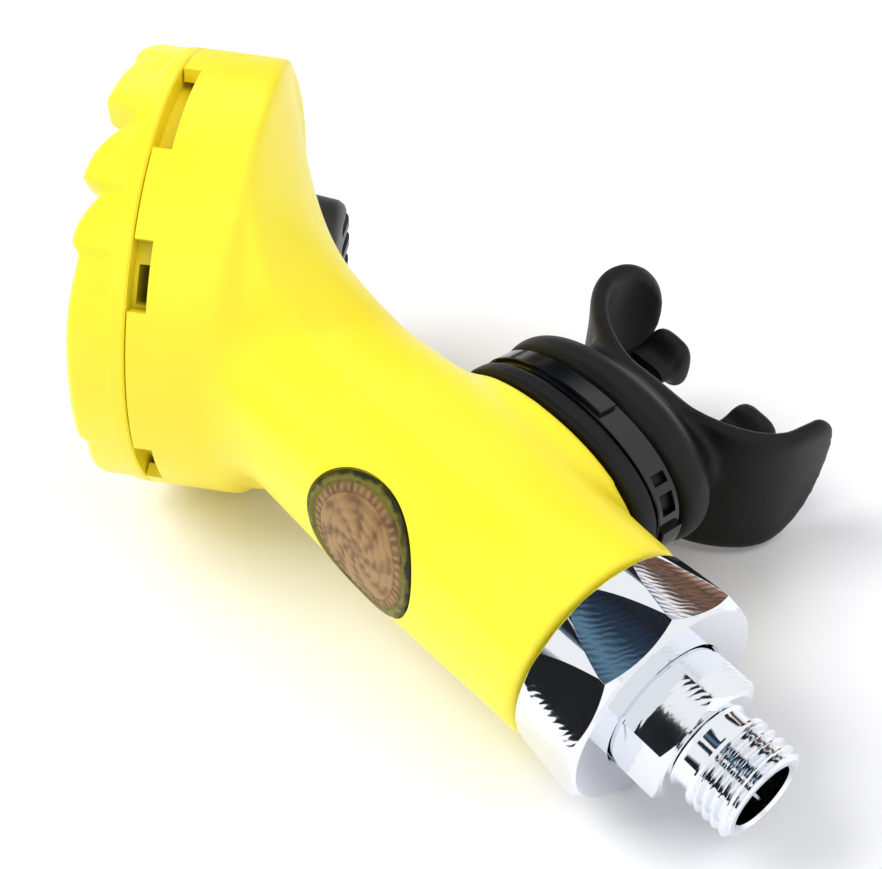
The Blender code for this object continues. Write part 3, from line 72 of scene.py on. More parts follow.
# %% Frames from the joints
joints = {joint["name"]: joint for joint in frame["joints"]}
along_barrel = -Vector(joints["poppet_slide"]["axis"])
bench_up = -Vector(joints["lever_swing"]["axis"])
to_mouth = bench_up.cross(along_barrel)
LEVER_PIVOT = (29.4, 5.6)
PORT_AT = 71.9                       # where the mouthpiece's port sits along the barrel
SLANT_DEG = 137.4                    # between the cover's outward axis and the barrel

seam_centre = Vector(joints["lever_swing"]["pos_m"]) \
    - (along_barrel * LEVER_PIVOT[0] + to_mouth * LEVER_PIVOT[1]) * MM


def frame_of(x, y, z, at=(0.0, 0.0, 0.0)):
    """Matrix whose axes are the given bench directions, with its origin at a bench point in mm."""
    bench = Matrix((along_barrel, to_mouth, bench_up)).transposed()
    made = Matrix([bench @ Vector(axis) for axis in (x, y, z)]).transposed().to_4x4()
    made.translation = seam_centre + bench @ (Vector(at) * MM)
    return made


slant = math.radians(SLANT_DEG)
cover_out = (math.cos(slant), -math.sin(slant), 0.0)
cover_across = (math.sin(slant), math.cos(slant), 0.0)
BENCH = frame_of((1, 0, 0), (0, 1, 0), (0, 0, 1))
DRUM = frame_of(cover_across, (0, 0, 1), cover_out)
BARREL = frame_of((0, 1, 0), (0, 0, 1), (1, 0, 0))
MOUTH = frame_of((1, 0, 0), (0, 0, -1), (0, 1, 0), (PORT_AT, 0.0, 0.0))
print("thread end in mm:", [round(v / MM, 1) for v in BENCH @ Vector((131.5 * MM, 0, 0))])

# %% [markdown]
# ## The camera
#
# The photograph's own camera can be worked out from the circles it shows: the drum's seam, the
# collar's rim and the thread's mouth are round in reality, so their ovals in the picture fix the
# direction and the distance.  The result is written in the bench frame, so the view stays right
# even if the part comes to rest a little differently.

# %% Camera
camera = bpy.data.objects.new("camera", bpy.data.cameras.new("camera"))
bpy.context.scene.collection.objects.link(camera)
bpy.context.scene.camera = camera
camera.data.lens = 61.218
camera.data.sensor_width = 36.0
camera.data.sensor_fit = "HORIZONTAL"
camera.data.clip_start = 0.01
camera.matrix_world = frame_of((0.634743, 0.769802, 0.067132), (-0.560091, 0.398486, 0.726297),
                               (0.532354, -0.498611, 0.684095), (179.874, -106.055, 157.832))
print("camera at", [round(v, 3) for v in camera.location])

# %% [markdown]
# ## Mesh tools
#
# Turned parts come from a lathe: an outline of radius and height, spun round.  Everything else is
# a loft: rings of points joined like the hoops of a barrel.  Both give closed solids, and Boolean
# modifiers then drill and mill them in the order a workshop would.


# %% Mesh tools
def solid(points, faces):
    """bmesh from points in mm and index faces, closed and turned right side out."""
    bm = bmesh.new()
    verts = [bm.verts.new(point) for point in points]
    for face in faces:
        bm.faces.new([verts[i] for i in face])
    bmesh.ops.remove_doubles(bm, verts=bm.verts, dist=1e-4)
    bmesh.ops.dissolve_degenerate(bm, edges=bm.edges, dist=1e-5)
    bmesh.ops.recalc_face_normals(bm, faces=bm.faces)
    return bm


def loft(rings, closed_path=False):
    """Solid through rings with the same number of points; a closed path has no end caps."""
    count, total = len(rings[0]), len(rings)
    points = [point for ring in rings for point in ring]
    faces = []
    for k in range(total if closed_path else total - 1):
        low, high = k * count, (k + 1) % total * count
        faces += [(low + i, low + (i + 1) % count, high + (i + 1) % count, high + i)
                  for i in range(count)]
    if not closed_path:
        faces += [tuple(range(count))[::-1], tuple(range((total - 1) * count, total * count))]
    return solid(points, faces)


def polar(radius, angle, z):
    return radius * math.cos(angle), radius * math.sin(angle), z


def lathe(outline, sides=128):
    """Solid turned about z from a closed outline of (radius, height)."""
    angles = [2 * math.pi * i / sides for i in range(sides)]
    return loft([[polar(r, a, z) for r, z in outline] for a in angles], closed_path=True)


def plug(radius, first, last, sides=128):
    """Turned cylinder between two heights."""
    return lathe([(0, first), (radius, first), (radius, last), (0, last)], sides)


def hoop(half_x, half_y, z, power=2.15, count=96, at=(0.0, 0.0)):
    """Ring of a superellipse at height z: power 2 is an ellipse, more is squarer."""
    ring = []
    for i in range(count):
        angle = 2 * math.pi * (i + 0.5) / count
        c, s = math.cos(angle), math.sin(angle)
        ring.append((at[0] + half_x * math.copysign(abs(c) ** (2 / power), c),
                     at[1] + half_y * math.copysign(abs(s) ** (2 / power), s), z))
    return ring


def rounded(corner, radius, start_deg, end_deg, steps=6):
    """Points of an arc in a lathe outline, about its centre."""
    angles = np.radians(np.linspace(start_deg, end_deg, steps + 1))
    return [(corner[0] + radius * math.cos(a), corner[1] + radius * math.sin(a)) for a in angles]


def ease(value):
    """0 to 1 with a soft start and end."""
    value = min(1.0, max(0.0, value))
    return value * value * (3 - 2 * value)


# %% Objects and their modifiers
def put(name, bm, matrix):
    """bmesh in mm of a frame to an object whose mesh stands in metres of the floor's frame."""
    bmesh.ops.transform(bm, matrix=matrix @ Matrix.Scale(MM, 4), verts=bm.verts)
    mesh = bpy.data.meshes.new(name)
    bm.to_mesh(mesh)
    bm.free()
    made = bpy.data.objects.new(name, mesh)
    bpy.context.scene.collection.objects.link(made)
    return made


def settle(obj):
    """Apply the modifiers of an object to its mesh."""
    graph = bpy.context.evaluated_depsgraph_get()
    mesh = bpy.data.meshes.new_from_object(obj.evaluated_get(graph))
    obj.modifiers.clear()
    obj.data = mesh
    return obj


def change(obj, kind, **settings):
    """Add one modifier with its settings and apply it."""
    modifier = obj.modifiers.new(kind, kind)
    for key, value in settings.items():
        setattr(modifier, key, value)
    return settle(obj)


def machine(obj, bm, matrix, operation="DIFFERENCE"):
    """Cut, join or intersect an object with a solid that is then thrown away."""
    tool = put("tool", bm, matrix)
    change(obj, "BOOLEAN", operation=operation, solver="EXACT", object=tool)
    bpy.data.objects.remove(tool, do_unlink=True)
    return obj


def join(obj, bm, matrix):
    """Lay a solid over an object without a Boolean, for a skin that is melted later."""
    extra = put("extra", bm, matrix)
    both = bmesh.new()
    both.from_mesh(obj.data)
    both.from_mesh(extra.data)
    both.to_mesh(obj.data)
    both.free()
    bpy.data.objects.remove(extra, do_unlink=True)


def in_frame(matrix, points):
    """Rows of x, y and z in mm of a frame for an array of points in metres."""
    return (np.array(matrix.inverted()) @ np.c_[points, np.ones(len(points))].T)[:3] / MM


def shade(obj, sharp_deg=32.0):
    """Smooth shading that keeps edges sharper than an angle."""
    obj.data.shade_smooth()
    obj.data.set_sharp_from_angle(angle=math.radians(sharp_deg))
    return obj


# %% [markdown]
# ### Soft fillets by remeshing
#
# Injection moulded and cast silicone parts have no crisp inner corners.  Instead of rounding
# every seam between lofts by hand, the overlapping solids are melted into one skin by a voxel
# remesh, and its points are then moved a little towards the middle of their neighbours.  A weight
# per point lets one place melt more than another.


# %% Melt solids into one skin
def melt(obj, voxel_mm, rounds, weight=None):
    """Voxel remesh, then smoothing rounds whose strength weight(points in metres) gives."""
    change(obj, "REMESH", mode="VOXEL", voxel_size=voxel_mm * MM)
    mesh = obj.data
    count = len(mesh.vertices)
    points = np.empty(count * 3)
    mesh.vertices.foreach_get("co", points)
    points = points.reshape(-1, 3)
    ends = np.empty(len(mesh.edges) * 2, int)
    mesh.edges.foreach_get("vertices", ends)
    ends = ends.reshape(-1, 2)
    neighbours = np.bincount(ends.ravel(), minlength=count)[:, None]
    strength = np.ones(count) if weight is None else weight(points)
    for _ in range(rounds):
        total = np.zeros_like(points)
        for axis in range(3):
            total[:, axis] = np.bincount(ends[:, 0], points[ends[:, 1], axis], count) \
                + np.bincount(ends[:, 1], points[ends[:, 0], axis], count)
        points += (total / neighbours - points) * strength[:, None]
    mesh.vertices.foreach_set("co", points.ravel())
    mesh.update()
    print(f"{obj.name}: skin of {count} points")
    return obj


# %% [markdown]
# ## Finishes
#
# A finish is named for what it is and how its surface was made.  One helper turns an sRGB hex
# colour, the kind that a colour picker shows, into the linear numbers that Blender's sockets want.
# The others add a node with its settings and links, a sum, a noise of a real grain size in
# millimetres, or a bump of a real depth.


# %% Material helpers
def linear(hex_colour):
    """sRGB hex text to linear RGBA."""
    parts = [int(hex_colour[i:i + 2], 16) / 255 for i in (1, 3, 5)]
    return [c / 12.92 if c <= 0.04045 else ((c + 0.055) / 1.055) ** 2.4 for c in parts] + [1.0]


def node(tree, kind, settings=None, links=None):
    """Add a node; settings are its properties or input values, links its inputs' sources."""
    made = tree.nodes.new(kind)
    for key, value in (settings or {}).items():
        if isinstance(key, str) and hasattr(made, key):
            setattr(made, key, value)
        else:
            made.inputs[key].default_value = value
    for key, source in (links or {}).items():
        tree.links.new(source, made.inputs[key])
    return made


def calc(tree, operation, *values):
    """Result of a math node on numbers and sockets."""
    made = node(tree, "ShaderNodeMath", {"operation": operation})
    for place, value in enumerate(values):
        if isinstance(value, bpy.types.NodeSocket):
            tree.links.new(value, made.inputs[place])
        else:
            made.inputs[place].default_value = value
    return made.outputs["Value"]


def noise(tree, size_mm, detail, distortion=0.0):
    """Noise whose grains have a size on the object in mm."""
    place = node(tree, "ShaderNodeTexCoord").outputs["Object"]
    settings = {"Scale": 1 / (size_mm * MM), "Detail": detail, "Distortion": distortion}
    return node(tree, "ShaderNodeTexNoise", settings, {"Vector": place}).outputs["Fac"]


def attribute(tree, name):
    return node(tree, "ShaderNodeAttribute", {"attribute_name": name}).outputs["Fac"]


def feed(tree, shader, **sources):
    """Link sources to a shader's inputs."""
    for key, source in sources.items():
        tree.links.new(source, shader.inputs[key.replace("_", " ")])


def bump(tree, shader, height, strength, depth_mm):
    """Lift the surface by a height times a depth in mm."""
    made = node(tree, "ShaderNodeBump", {"Strength": strength, "Distance": depth_mm * MM},
                {"Height": height})
    feed(tree, shader, Normal=made.outputs["Normal"])


def finish(name, **surface):
    """Material with a Principled surface; surface gives its plain values."""
    material = bpy.data.materials.new(name)
    material.use_nodes = True
    shader = material.node_tree.nodes["Principled BSDF"]
    for key, value in surface.items():
        shader.inputs[key.replace("_", " ")].default_value = value
    return material, material.node_tree, shader


def ramp(tree, source, stops):
    """Colour ramp through (place, hex or grey) stops."""
    made = node(tree, "ShaderNodeValToRGB", links={"Fac": source})
    elements = made.color_ramp.elements
    while len(elements) < len(stops):
        elements.new(0.5)
    for element, (place, colour) in zip(elements, stops):
        element.position = place
        element.color = linear(colour) if isinstance(colour, str) else (colour,) * 3 + (1.0,)
    return made.outputs["Color"]


# %% [markdown]
# ### Moulded ABS, yellow
#
# Housing and cover are injection moulded ABS.  The tool was spark eroded, so the skin is satin:
# broad soft highlights, never a mirror.  The pigment is strong, the colour varies by only a shade
# where the melt flowed and cooled, and handling leaves faint scuffs.


# %% Moulded ABS
def moulded_abs():
    material, tree, shader = finish("moulded_abs_yellow", IOR=1.53)
    # the flow marks of the melt are some 30 mm wide
    feed(tree, shader,
         Base_Color=ramp(tree, noise(tree, 30.0, 2.0), [(0.3, "#FBE51F"), (0.7, "#FFF033")]),
         Roughness=ramp(tree, noise(tree, 6.0, 6.0, 1.5), [(0.35, 0.33), (0.75, 0.44)]))
    # spark erosion leaves pits of about 0.1 mm, drawn at 0.25 mm so that they show
    bump(tree, shader, noise(tree, 0.25, 2.0), 0.10, 0.08)
    return material


ABS = moulded_abs()

# %% [markdown]
# ### Bright chrome plate
#
# Collar and inlet are brass, turned and milled, then polished and plated with nickel and chrome.
# Plating is thinner than the tool marks, so they stay visible as fine waves in a mirror.  Each
# milled flat has two of them: the arcs that the cutter swept, and a crown, because the polishing
# wheel takes a little more off near the edges.  A crowned flat mirrors a whole band of the studio
# instead of one tone.  Two UV maps in millimetres carry this: "milled" is measured from the
# cutter's centre, "crown" from the flat's middle line.


# %% Chrome
ARC_PITCH, ARC_DEPTH, CROWN_RADIUS = 0.85, 0.0024, 110.0       # of the milled flats, in mm


def chrome_plate():
    material, tree, shader = finish("bright_chrome_plate", Metallic=1.0)
    shader.inputs["Base Color"].default_value = linear("#EBEEF3")
    feed(tree, shader, Roughness=ramp(tree, noise(tree, 4.0, 5.0), [(0.3, 0.03), (0.8, 0.09)]))
    flat = node(tree, "ShaderNodeUVMap", {"uv_map": "milled"}).outputs["UV"]
    wobble = node(tree, "ShaderNodeTexNoise", {"Scale": 0.35, "Detail": 2.0}, {"Vector": flat})
    shifted = node(tree, "ShaderNodeVectorMath", {"operation": "MULTIPLY_ADD", 1: (1.6, 1.6, 0.0)},
                   {0: wobble.outputs["Color"], 2: flat})
    reach = node(tree, "ShaderNodeVectorMath", {"operation": "LENGTH"},
                 {0: shifted.outputs["Vector"]}).outputs["Value"]
    # the cutter feeds 0.4 mm a turn, drawn coarser so that the picture resolves it
    ridges = calc(tree, "SINE", calc(tree, "MULTIPLY", reach, 2 * math.pi / ARC_PITCH))
    near = node(tree, "ShaderNodeMapRange", {"From Min": 40.0, "From Max": 34.0}, {"Value": reach})
    marks = calc(tree, "MULTIPLY", ridges, near.outputs["Result"])
    across = node(tree, "ShaderNodeUVMap", {"uv_map": "crown"}).outputs["UV"]
    square = node(tree, "ShaderNodeVectorMath", {"operation": "DOT_PRODUCT"},
                  {0: across, 1: across})
    height = calc(tree, "MULTIPLY_ADD", square.outputs["Value"], -0.5 / CROWN_RADIUS,
                  calc(tree, "MULTIPLY", marks, ARC_DEPTH))
    bump(tree, shader, height, 1.0, 1.0)
    return material


CHROME = chrome_plate()

# %% [markdown]
# ### Cast silicone rubber, black
#
# The mouthpiece is compression moulded silicone filled with carbon black.  It is dark grey rather
# than black to the eye, because its fine matt skin scatters a wide, weak highlight, and it holds a
# little dust.


# %% Silicone
def cast_silicone():
    material, tree, shader = finish("cast_silicone_black", IOR=1.41, Specular_IOR_Level=0.35)
    cloud = noise(tree, 8.0, 4.0)
    feed(tree, shader, Base_Color=ramp(tree, cloud, [(0.3, "#0C0C0D"), (0.75, "#151517")]),
         Roughness=ramp(tree, cloud, [(0.3, 0.42), (0.8, 0.55)]))
    bump(tree, shader, noise(tree, 0.3, 2.0), 0.15, 0.1)
    return material


SILICONE = cast_silicone()

# %% [markdown]
# ### The small finishes
#
# The cable tie is glossy nylon, the exhaust cover and the purge button are satin acetal, the
# valve is turned brass, springs and lever are stainless wire and strip, and the diaphragm is
# translucent silicone.  Each gets one texture that the eye would miss if it weren't there.


# %% Nylon, acetal, brass, steel, clear silicone
def small_finish(name, dark, light, roughness, grain_mm, bump_mm, **surface):
    """Two close colours over a noise of a real grain size, which also lifts the surface."""
    material, tree, shader = finish(name, **surface)
    grain = noise(tree, grain_mm, 4.0)
    feed(tree, shader, Base_Color=ramp(tree, grain, [(0.3, dark), (0.7, light)]),
         Roughness=ramp(tree, grain, [(0.3, roughness), (0.8, roughness * 1.4)]))
    bump(tree, shader, grain, 0.4, bump_mm)
    return material


NYLON = small_finish("moulded_nylon_gloss_black", "#08080A", "#101114", 0.12, 4.0, 0.02, IOR=1.53)
ACETAL = small_finish("moulded_acetal_satin_black", "#222223", "#2C2C2C", 0.36, 0.4, 0.03, IOR=1.48)
BRASS = small_finish("turned_brass", "#B08D45", "#C9A860", 0.24, 0.8, 0.01, Metallic=1.0)
STEEL = small_finish("drawn_stainless_steel", "#A9AAAC", "#C6C7C8", 0.25, 0.5, 0.01, Metallic=1.0)
CLEAR = small_finish("cast_silicone_milky", "#B9B9B0", "#D0D0C8", 0.42, 0.5, 0.02, IOR=1.41,
                     Subsurface_Weight=0.4)
NITRILE = small_finish("moulded_nitrile_black", "#0E0E0F", "#18181A", 0.4, 0.5, 0.02, IOR=1.52)

# %% [markdown]
# ### Aged bronze badge
#
# The badge is a struck bronze disc that has been in salt water.  Its high places are rubbed to a
# warm brown and its hollows stay dark.  Its rim gets painted shade in olive and green-black, for
# the shade of the pocket's wall on its edge.  The badge's mesh carries its relief height and its
# distance to the edge as two attributes, so the colours land in the real hollows and on the rim.


# %% Bronze
def aged_bronze():
    material, tree, shader = finish("struck_bronze_patinated", Metallic=0.35)
    blotch = noise(tree, 2.2, 6.0, 0.8)
    mixed = calc(tree, "MULTIPLY_ADD", blotch, 0.7, attribute(tree, "relief"))
    brown = ramp(tree, mixed, [(0.34, "#1F1911"), (0.52, "#61492F"), (0.72, "#856442"),
                               (0.98, "#A58255")])
    # painted shade: near the rim the colour turns olive, then green-black, for the shade that the
    # pocket's wall casts on the badge's edge
    ragged = calc(tree, "MULTIPLY_ADD", blotch, 0.25, -0.1)
    painted_rim_shade = calc(tree, "ADD", attribute(tree, "edge"), ragged)
    share = ramp(tree, painted_rim_shade, [(0.86, 0.0), (0.91, 1.0)])
    rim_shade_colour = ramp(tree, painted_rim_shade, [(0.94, "#75701F"), (1.0, "#23280F")])
    colour = node(tree, "ShaderNodeMix", {"data_type": "RGBA"}, {0: share, 6: brown, 7: rim_shade_colour})
    feed(tree, shader, Base_Color=colour.outputs[2],
         Roughness=ramp(tree, mixed, [(0.3, 0.75), (0.9, 0.42)]))
    bump(tree, shader, blotch, 0.8, 0.16)
    return material


BRONZE = aged_bronze()


# %% Give a piece its finish, its body and the node it stands for
def dress(obj, material, body="body", stands_for=(), sharp_deg=32.0):
    obj.data.materials.clear()
    obj.data.materials.append(material)
    if obj.type == "MESH":
        shade(obj, sharp_deg)
    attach(obj, body)
    if stands_for:
        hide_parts(*stands_for)
    print(f"{obj.name}: {len(obj.data.polygons)} faces of {material.name}")
    return obj


# %% [markdown]
# ## The housing
#
# Drum and barrel are one moulding.  The drum is a lathe shape.  The barrel is a loft of nearly
# round sections with a soft crease along its top, and at the drum the crease rises into a sharp
# ridge, because the neck opens like a funnel: its rings fan round a hinge line that lies in
# front of it.  In front of the crease a ring follows the drum's own side wall, so wall and neck
# meet without a step.  The solids are melted together; walls, windows and bores are cut
# afterwards, so their edges stay as crisp as the tool made them.

# %% Sizes of the housing
GAP = 0.3
DRUM_RADIUS, DRUM_DEPTH, DRUM_EDGE = 36.8, 13.2, 1.2
RIM_WALL, BACK_WALL = 2.3, 2.5
LEDGE_DEPTH, LEDGE_WIDTH = 8.6, 3.5
NECK_RADIUS, NECK_AT, NECK_INSIDE = 15.0, 39.0, 3.0
BARREL_RADIUS, BARREL_WIDEST_AT, BARREL_END_RADIUS = 16.9, 70.0, 15.8
COLLAR_FRONT, COLLAR_LENGTH = 113.9, 11.7
COLLAR_BACK = COLLAR_FRONT - COLLAR_LENGTH
PORT_FACE, PORT_HALF = 16.8, (20.3, 12.2)
STUB_HALF, STUB_WALL, STUB_LENGTH = (17.3, 9.2), 1.7, 12.0
BORE_RADIUS, SPIGOT_RADIUS = 12.0, 12.9
SQUARENESS, REAR_SQUARENESS, ROOT_SQUARENESS, END_SQUARENESS = 2.25, 2.7, 2.2, 2.1
CREASE_AHEAD, CREASE_END_AT = 5.5, 80.0
NECK_ROOT_REAR, FUNNEL_POWER = 30.5, 3.2
WEB_SLOPE, WEB_BLEND, LAND_DEPTH, LAND_SLOPE = 1.5, 2.4, 2.0, 6.0
INLET_BORE, SOCKET_DEPTH = 10.7, 2.6


# %% Sections of the barrel
def barrel_radius(x):
    if x < BARREL_WIDEST_AT:
        return NECK_RADIUS + (BARREL_RADIUS - NECK_RADIUS) * ease(
            (x - NECK_AT) / (BARREL_WIDEST_AT - NECK_AT))
    return BARREL_RADIUS + (BARREL_END_RADIUS - BARREL_RADIUS) * ease(
        (x - BARREL_WIDEST_AT) / (COLLAR_BACK - BARREL_WIDEST_AT))


def front_radius(x):
    """The cover's side of the barrel stays fuller beside the drum."""
    return max(barrel_radius(x), BARREL_RADIUS) if x < BARREL_WIDEST_AT else barrel_radius(x)


def super_height(share, power):
    """Height of a unit superellipse at a share of its half width."""
    return max(0.0, 1.0 - abs(share) ** power) ** (1.0 / power)


def creased_ring(foot, direction, near, far, crease, front, top, power, limit=None, steps=36):
    """Ring with a round front from near to the crease and a flatter rear from there to far."""
    upper = [(near, 0.0)]
    for i in range(1, steps):
        reach = near + (crease - near) * (1 - math.cos(math.pi / 2 * i / steps))
        upper.append((reach, front(reach)))
    for i in range(steps):
        share = math.sin(math.pi / 2 * i / steps)
        reach = crease + (far - crease) * share
        height = top * super_height(share, power)
        upper.append((reach, min(height, limit(reach)) if limit else height))
    upper.append((far, 0.0))
    both = upper + [(reach, -height) for reach, height in upper[-2:0:-1]]
    return [(foot.x + direction.x * reach, foot.y + direction.y * reach, height)
            for reach, height in both]


def barrel_section(x):
    near, far = front_radius(x), barrel_radius(x)
    crease = -CREASE_AHEAD * (1 - ease((x - CREASE_END_AT) / (COLLAR_BACK - CREASE_END_AT)))

    def front(reach):
        return (near + far) / 2 * super_height(reach / near, SQUARENESS)

    fade = ease((x - 76.0) / (COLLAR_BACK - 78.0))
    power = REAR_SQUARENESS + (END_SQUARENESS - REAR_SQUARENESS) * fade
    return creased_ring(Vector((x, 0.0)), Vector((0.0, 1.0)), -near, far, crease, front,
                        front(crease), power)


# %% The neck's fan of rings
across, out = Vector(cover_across[:2]), Vector(cover_out[:2])
root_at = out * (NECK_INSIDE - DRUM_DEPTH)
hinge_reach = (NECK_AT + 4.0 - root_at.x) / across.x
hinge = root_at + across * hinge_reach
bend = math.radians(180.0 - SLANT_DEG)


def fan(angle):
    """Direction of a ring, turned about the hinge line from the drum's back."""
    c, s = math.cos(angle), math.sin(angle)
    return Vector((-across.x * c - across.y * s, across.x * s - across.y * c))


def softer(low, high, width):
    """The smaller of two heights, with the corner between them rounded."""
    if width <= 0.0:
        return min(low, high)
    share = min(1.0, max(0.0, 0.5 + 0.5 * (high - low) / width))
    return high + (low - high) * share - width * share * (1 - share)


def neck_ring(share):
    left, turn = 1 - share, bend * share
    end_near, end_far = -hinge.y - front_radius(hinge.x), -hinge.y + barrel_radius(hinge.x)
    end_height = (barrel_radius(hinge.x) + front_radius(hinge.x)) / 2
    near = end_near + (hinge_reach - DRUM_RADIUS + 0.4 - end_near) * left ** 1.5
    far = end_far + (hinge_reach + NECK_ROOT_REAR - end_far) * left ** FUNNEL_POWER
    crease = -hinge.y - CREASE_AHEAD + 86.0 * math.exp(-10.0 * share)
    crease = min(crease, far - (far - near) * 0.04)
    free = 40.0 * ease((math.degrees(turn) - 8.0) / 10.0)
    half = -hinge.y - end_near

    def wall(distance):
        """Height of the drum's side wall above a point of this ring's plane."""
        along = hinge_reach - distance * math.cos(turn)
        return math.sqrt(max(0.0, DRUM_RADIUS ** 2 - along ** 2))

    top = end_height * super_height(CREASE_AHEAD / half, SQUARENESS)
    top = min(top + 17.8 * left ** 1.27 + 22.0 * left ** 8, wall(crease) + 0.3 * share)

    def front(distance):
        blend = WEB_BLEND * ease((crease - distance) / (4 * WEB_BLEND))
        offset = min(0.0, distance - near - half)
        barrel = min((end_height + 10.0 * left ** 2.2) * super_height(offset / half, SQUARENESS),
                     wall(distance) + free)
        web = min(top - WEB_SLOPE * (crease - distance), wall(distance))
        behind = distance * math.sin(turn) - NECK_INSIDE - LAND_DEPTH
        land = wall(distance) - LAND_SLOPE * max(0.0, behind)
        return max(min(-softer(-barrel, -web, blend), wall(distance) + free), land, 0.0)

    power = ROOT_SQUARENESS + (REAR_SQUARENESS - ROOT_SQUARENESS) * ease(share)
    return creased_ring(hinge, fan(turn), near, far, crease, front, top, power, wall)


def passage_ring(share):
    """Ring of the air passage inside the neck."""
    left = 1 - share
    near, far = -hinge.y - BORE_RADIUS, -hinge.y + BORE_RADIUS
    near += (hinge_reach - DRUM_RADIUS + 2.5 + LEDGE_WIDTH - near) * left ** 1.5
    far += (hinge_reach + 5.5 - far) * left ** 2.6
    height = BORE_RADIUS + (22.5 - BORE_RADIUS) * left ** 2.2
    direction = fan(bend * share)
    return [tuple(hinge + direction * ((near + far) / 2 + x)) + (y,)
            for x, y, _ in hoop((far - near) / 2, height, 0.0, 2.0, 64)]


# %% Melt drum, neck, barrel and port boss
drum_outline = [(0, 1.0), (DRUM_RADIUS, 1.0),
                *rounded((DRUM_RADIUS - DRUM_EDGE, DRUM_EDGE - DRUM_DEPTH), DRUM_EDGE, 0, -90),
                (0, -DRUM_DEPTH)]
neck = [neck_ring(share) for share in np.linspace(0, 1, 46) ** 1.35]
stations = np.linspace(hinge.x, COLLAR_BACK - GAP, 22)[1:]
housing = put("housing_shell", lathe(drum_outline, 200), DRUM)
for rings, matrix in ((neck + [barrel_section(x) for x in stations], BENCH),
                      ([hoop(PORT_HALF[0] + grow, PORT_HALF[1] + grow, z)
                        for grow, z in ((0.9, 6.0), (0.8, 11.0), (0.5, 14.5), (0.1, 16.4),
                                        (0.0, PORT_FACE))], MOUTH)):
    machine(housing, loft(rings), matrix, "UNION")


def housing_weight(points):
    """Melt the neck's near side and the port boss's root, and keep the drum and ridge crisp."""
    across, up, height = in_frame(DRUM, points)
    behind = -height - DRUM_DEPTH
    neck = np.clip((behind - 0.5) / 5.0, 0.0, 1.0)
    fillet = np.exp(-((behind - 1.5) / 3.5) ** 2) * (across > 22.0)
    fillet *= np.clip((28.0 - np.abs(up)) / 8.0, 0, 1)
    x, y, _ = in_frame(BENCH, points)
    port = (np.abs(x - PORT_AT) < 27) * (y > 4.0) * (y < PORT_FACE - 1.2)
    return np.clip(0.05 + 0.22 * neck + 0.5 * fillet + 0.45 * port, 0, 0.6) * (behind > -11.7)


melt(housing, 0.6, 40, housing_weight)

# %% Drill and mill the housing
inner = DRUM_RADIUS - RIM_WALL
spigot_end = COLLAR_FRONT - SOCKET_DEPTH - GAP
shoulder = COLLAR_BACK - 2.0
EXHAUST_AT, EXHAUST_HALF = (-20.5, -10.4), (11.0, 12.5)
# the drum was melted a little too tall, and a clean cut makes its rim
machine(housing, plug(DRUM_RADIUS + 3, 4, -GAP / 2), DRUM)
machine(housing, loft([hoop(*STUB_HALF, z) for z in (PORT_FACE - 4, PORT_FACE + STUB_LENGTH)]),
        MOUTH, "UNION")
machine(housing, plug(SPIGOT_RADIUS, COLLAR_BACK - 6, spigot_end), BARREL, "UNION")
machine(housing, lathe([(0, 2), (inner, 2), (inner, -LEDGE_DEPTH),
                        (inner - LEDGE_WIDTH, -LEDGE_DEPTH),
                        (inner - LEDGE_WIDTH, BACK_WALL - DRUM_DEPTH),
                        (0, BACK_WALL - DRUM_DEPTH)], 160), DRUM)
machine(housing, loft([passage_ring(share) for share in np.linspace(0, 1, 14)]), BENCH)
machine(housing, lathe([(0, 5.3), (BORE_RADIUS, 5.3), (BORE_RADIUS, shoulder),
                        (INLET_BORE, shoulder), (INLET_BORE, spigot_end + 5),
                        (0, spigot_end + 5)]), BARREL)
machine(housing, loft([hoop(STUB_HALF[0] - STUB_WALL, STUB_HALF[1] - STUB_WALL, z)
                       for z in (0.63, PORT_FACE + STUB_LENGTH + 3)]), MOUTH)
machine(housing, loft([hoop(EXHAUST_HALF[0] + GAP, EXHAUST_HALF[1] + GAP, z, 2.5, 96, EXHAUST_AT)
                       for z in (-3 * DRUM_DEPTH, 0.15 - DRUM_DEPTH)]), DRUM)


def sector(inside, outside, centre_deg, width_deg, low, high, steps=10, at=(0.0, 0.0)):
    """Wedge of a ring between two radii, two angles and two heights."""
    angles = np.radians(np.linspace(centre_deg - width_deg / 2, centre_deg + width_deg / 2, steps))
    outline = [polar(outside, a, 0) for a in angles]
    outline += [polar(inside, a, 0) for a in reversed(angles)]
    return loft([[(at[0] + x, at[1] + y, z) for x, y, _ in outline] for z in (low, high)])


WINDOWS_DEG = ((-23.0, 18.0), (35.0, 17.0), (80.5, 29.0))
for turn in (0.0, 180.0):
    for centre, width in WINDOWS_DEG:
        machine(housing, sector(inner - 1, DRUM_RADIUS + 2, centre + turn, width, -3.0, 1.0), DRUM)
for quarter in range(4):
    machine(housing, sector(2.9, 6.6, 90.0 * quarter, 64.0, -DRUM_DEPTH - 1, -DRUM_DEPTH + 4,
                            at=EXHAUST_AT), DRUM)

# %% [markdown]
# ## The badge and its pocket
#
# The badge is a disc laid on a curved barrel, so it is built as a polar grid on the
# barrel's own surface.  Its face was once struck with a picture, which is left off here: a raised
# rim, a ring of beads and a worn rosette, all from sine waves, give a plain struck pattern.

# %% Badge
BADGE_AT, BADGE_HALF, BADGE_TURN = 69.4, (11.4, 11.1), math.radians(174.0)


def barrel_surface(x, angle):
    """Distance of the barrel's front skin from its axis in a direction, from mouth side upwards."""
    near = front_radius(x)
    height = (near + barrel_radius(x)) / 2
    return (abs(math.cos(angle) / near) ** SQUARENESS
            + abs(math.sin(angle) / height) ** SQUARENESS) ** (-1 / SQUARENESS)


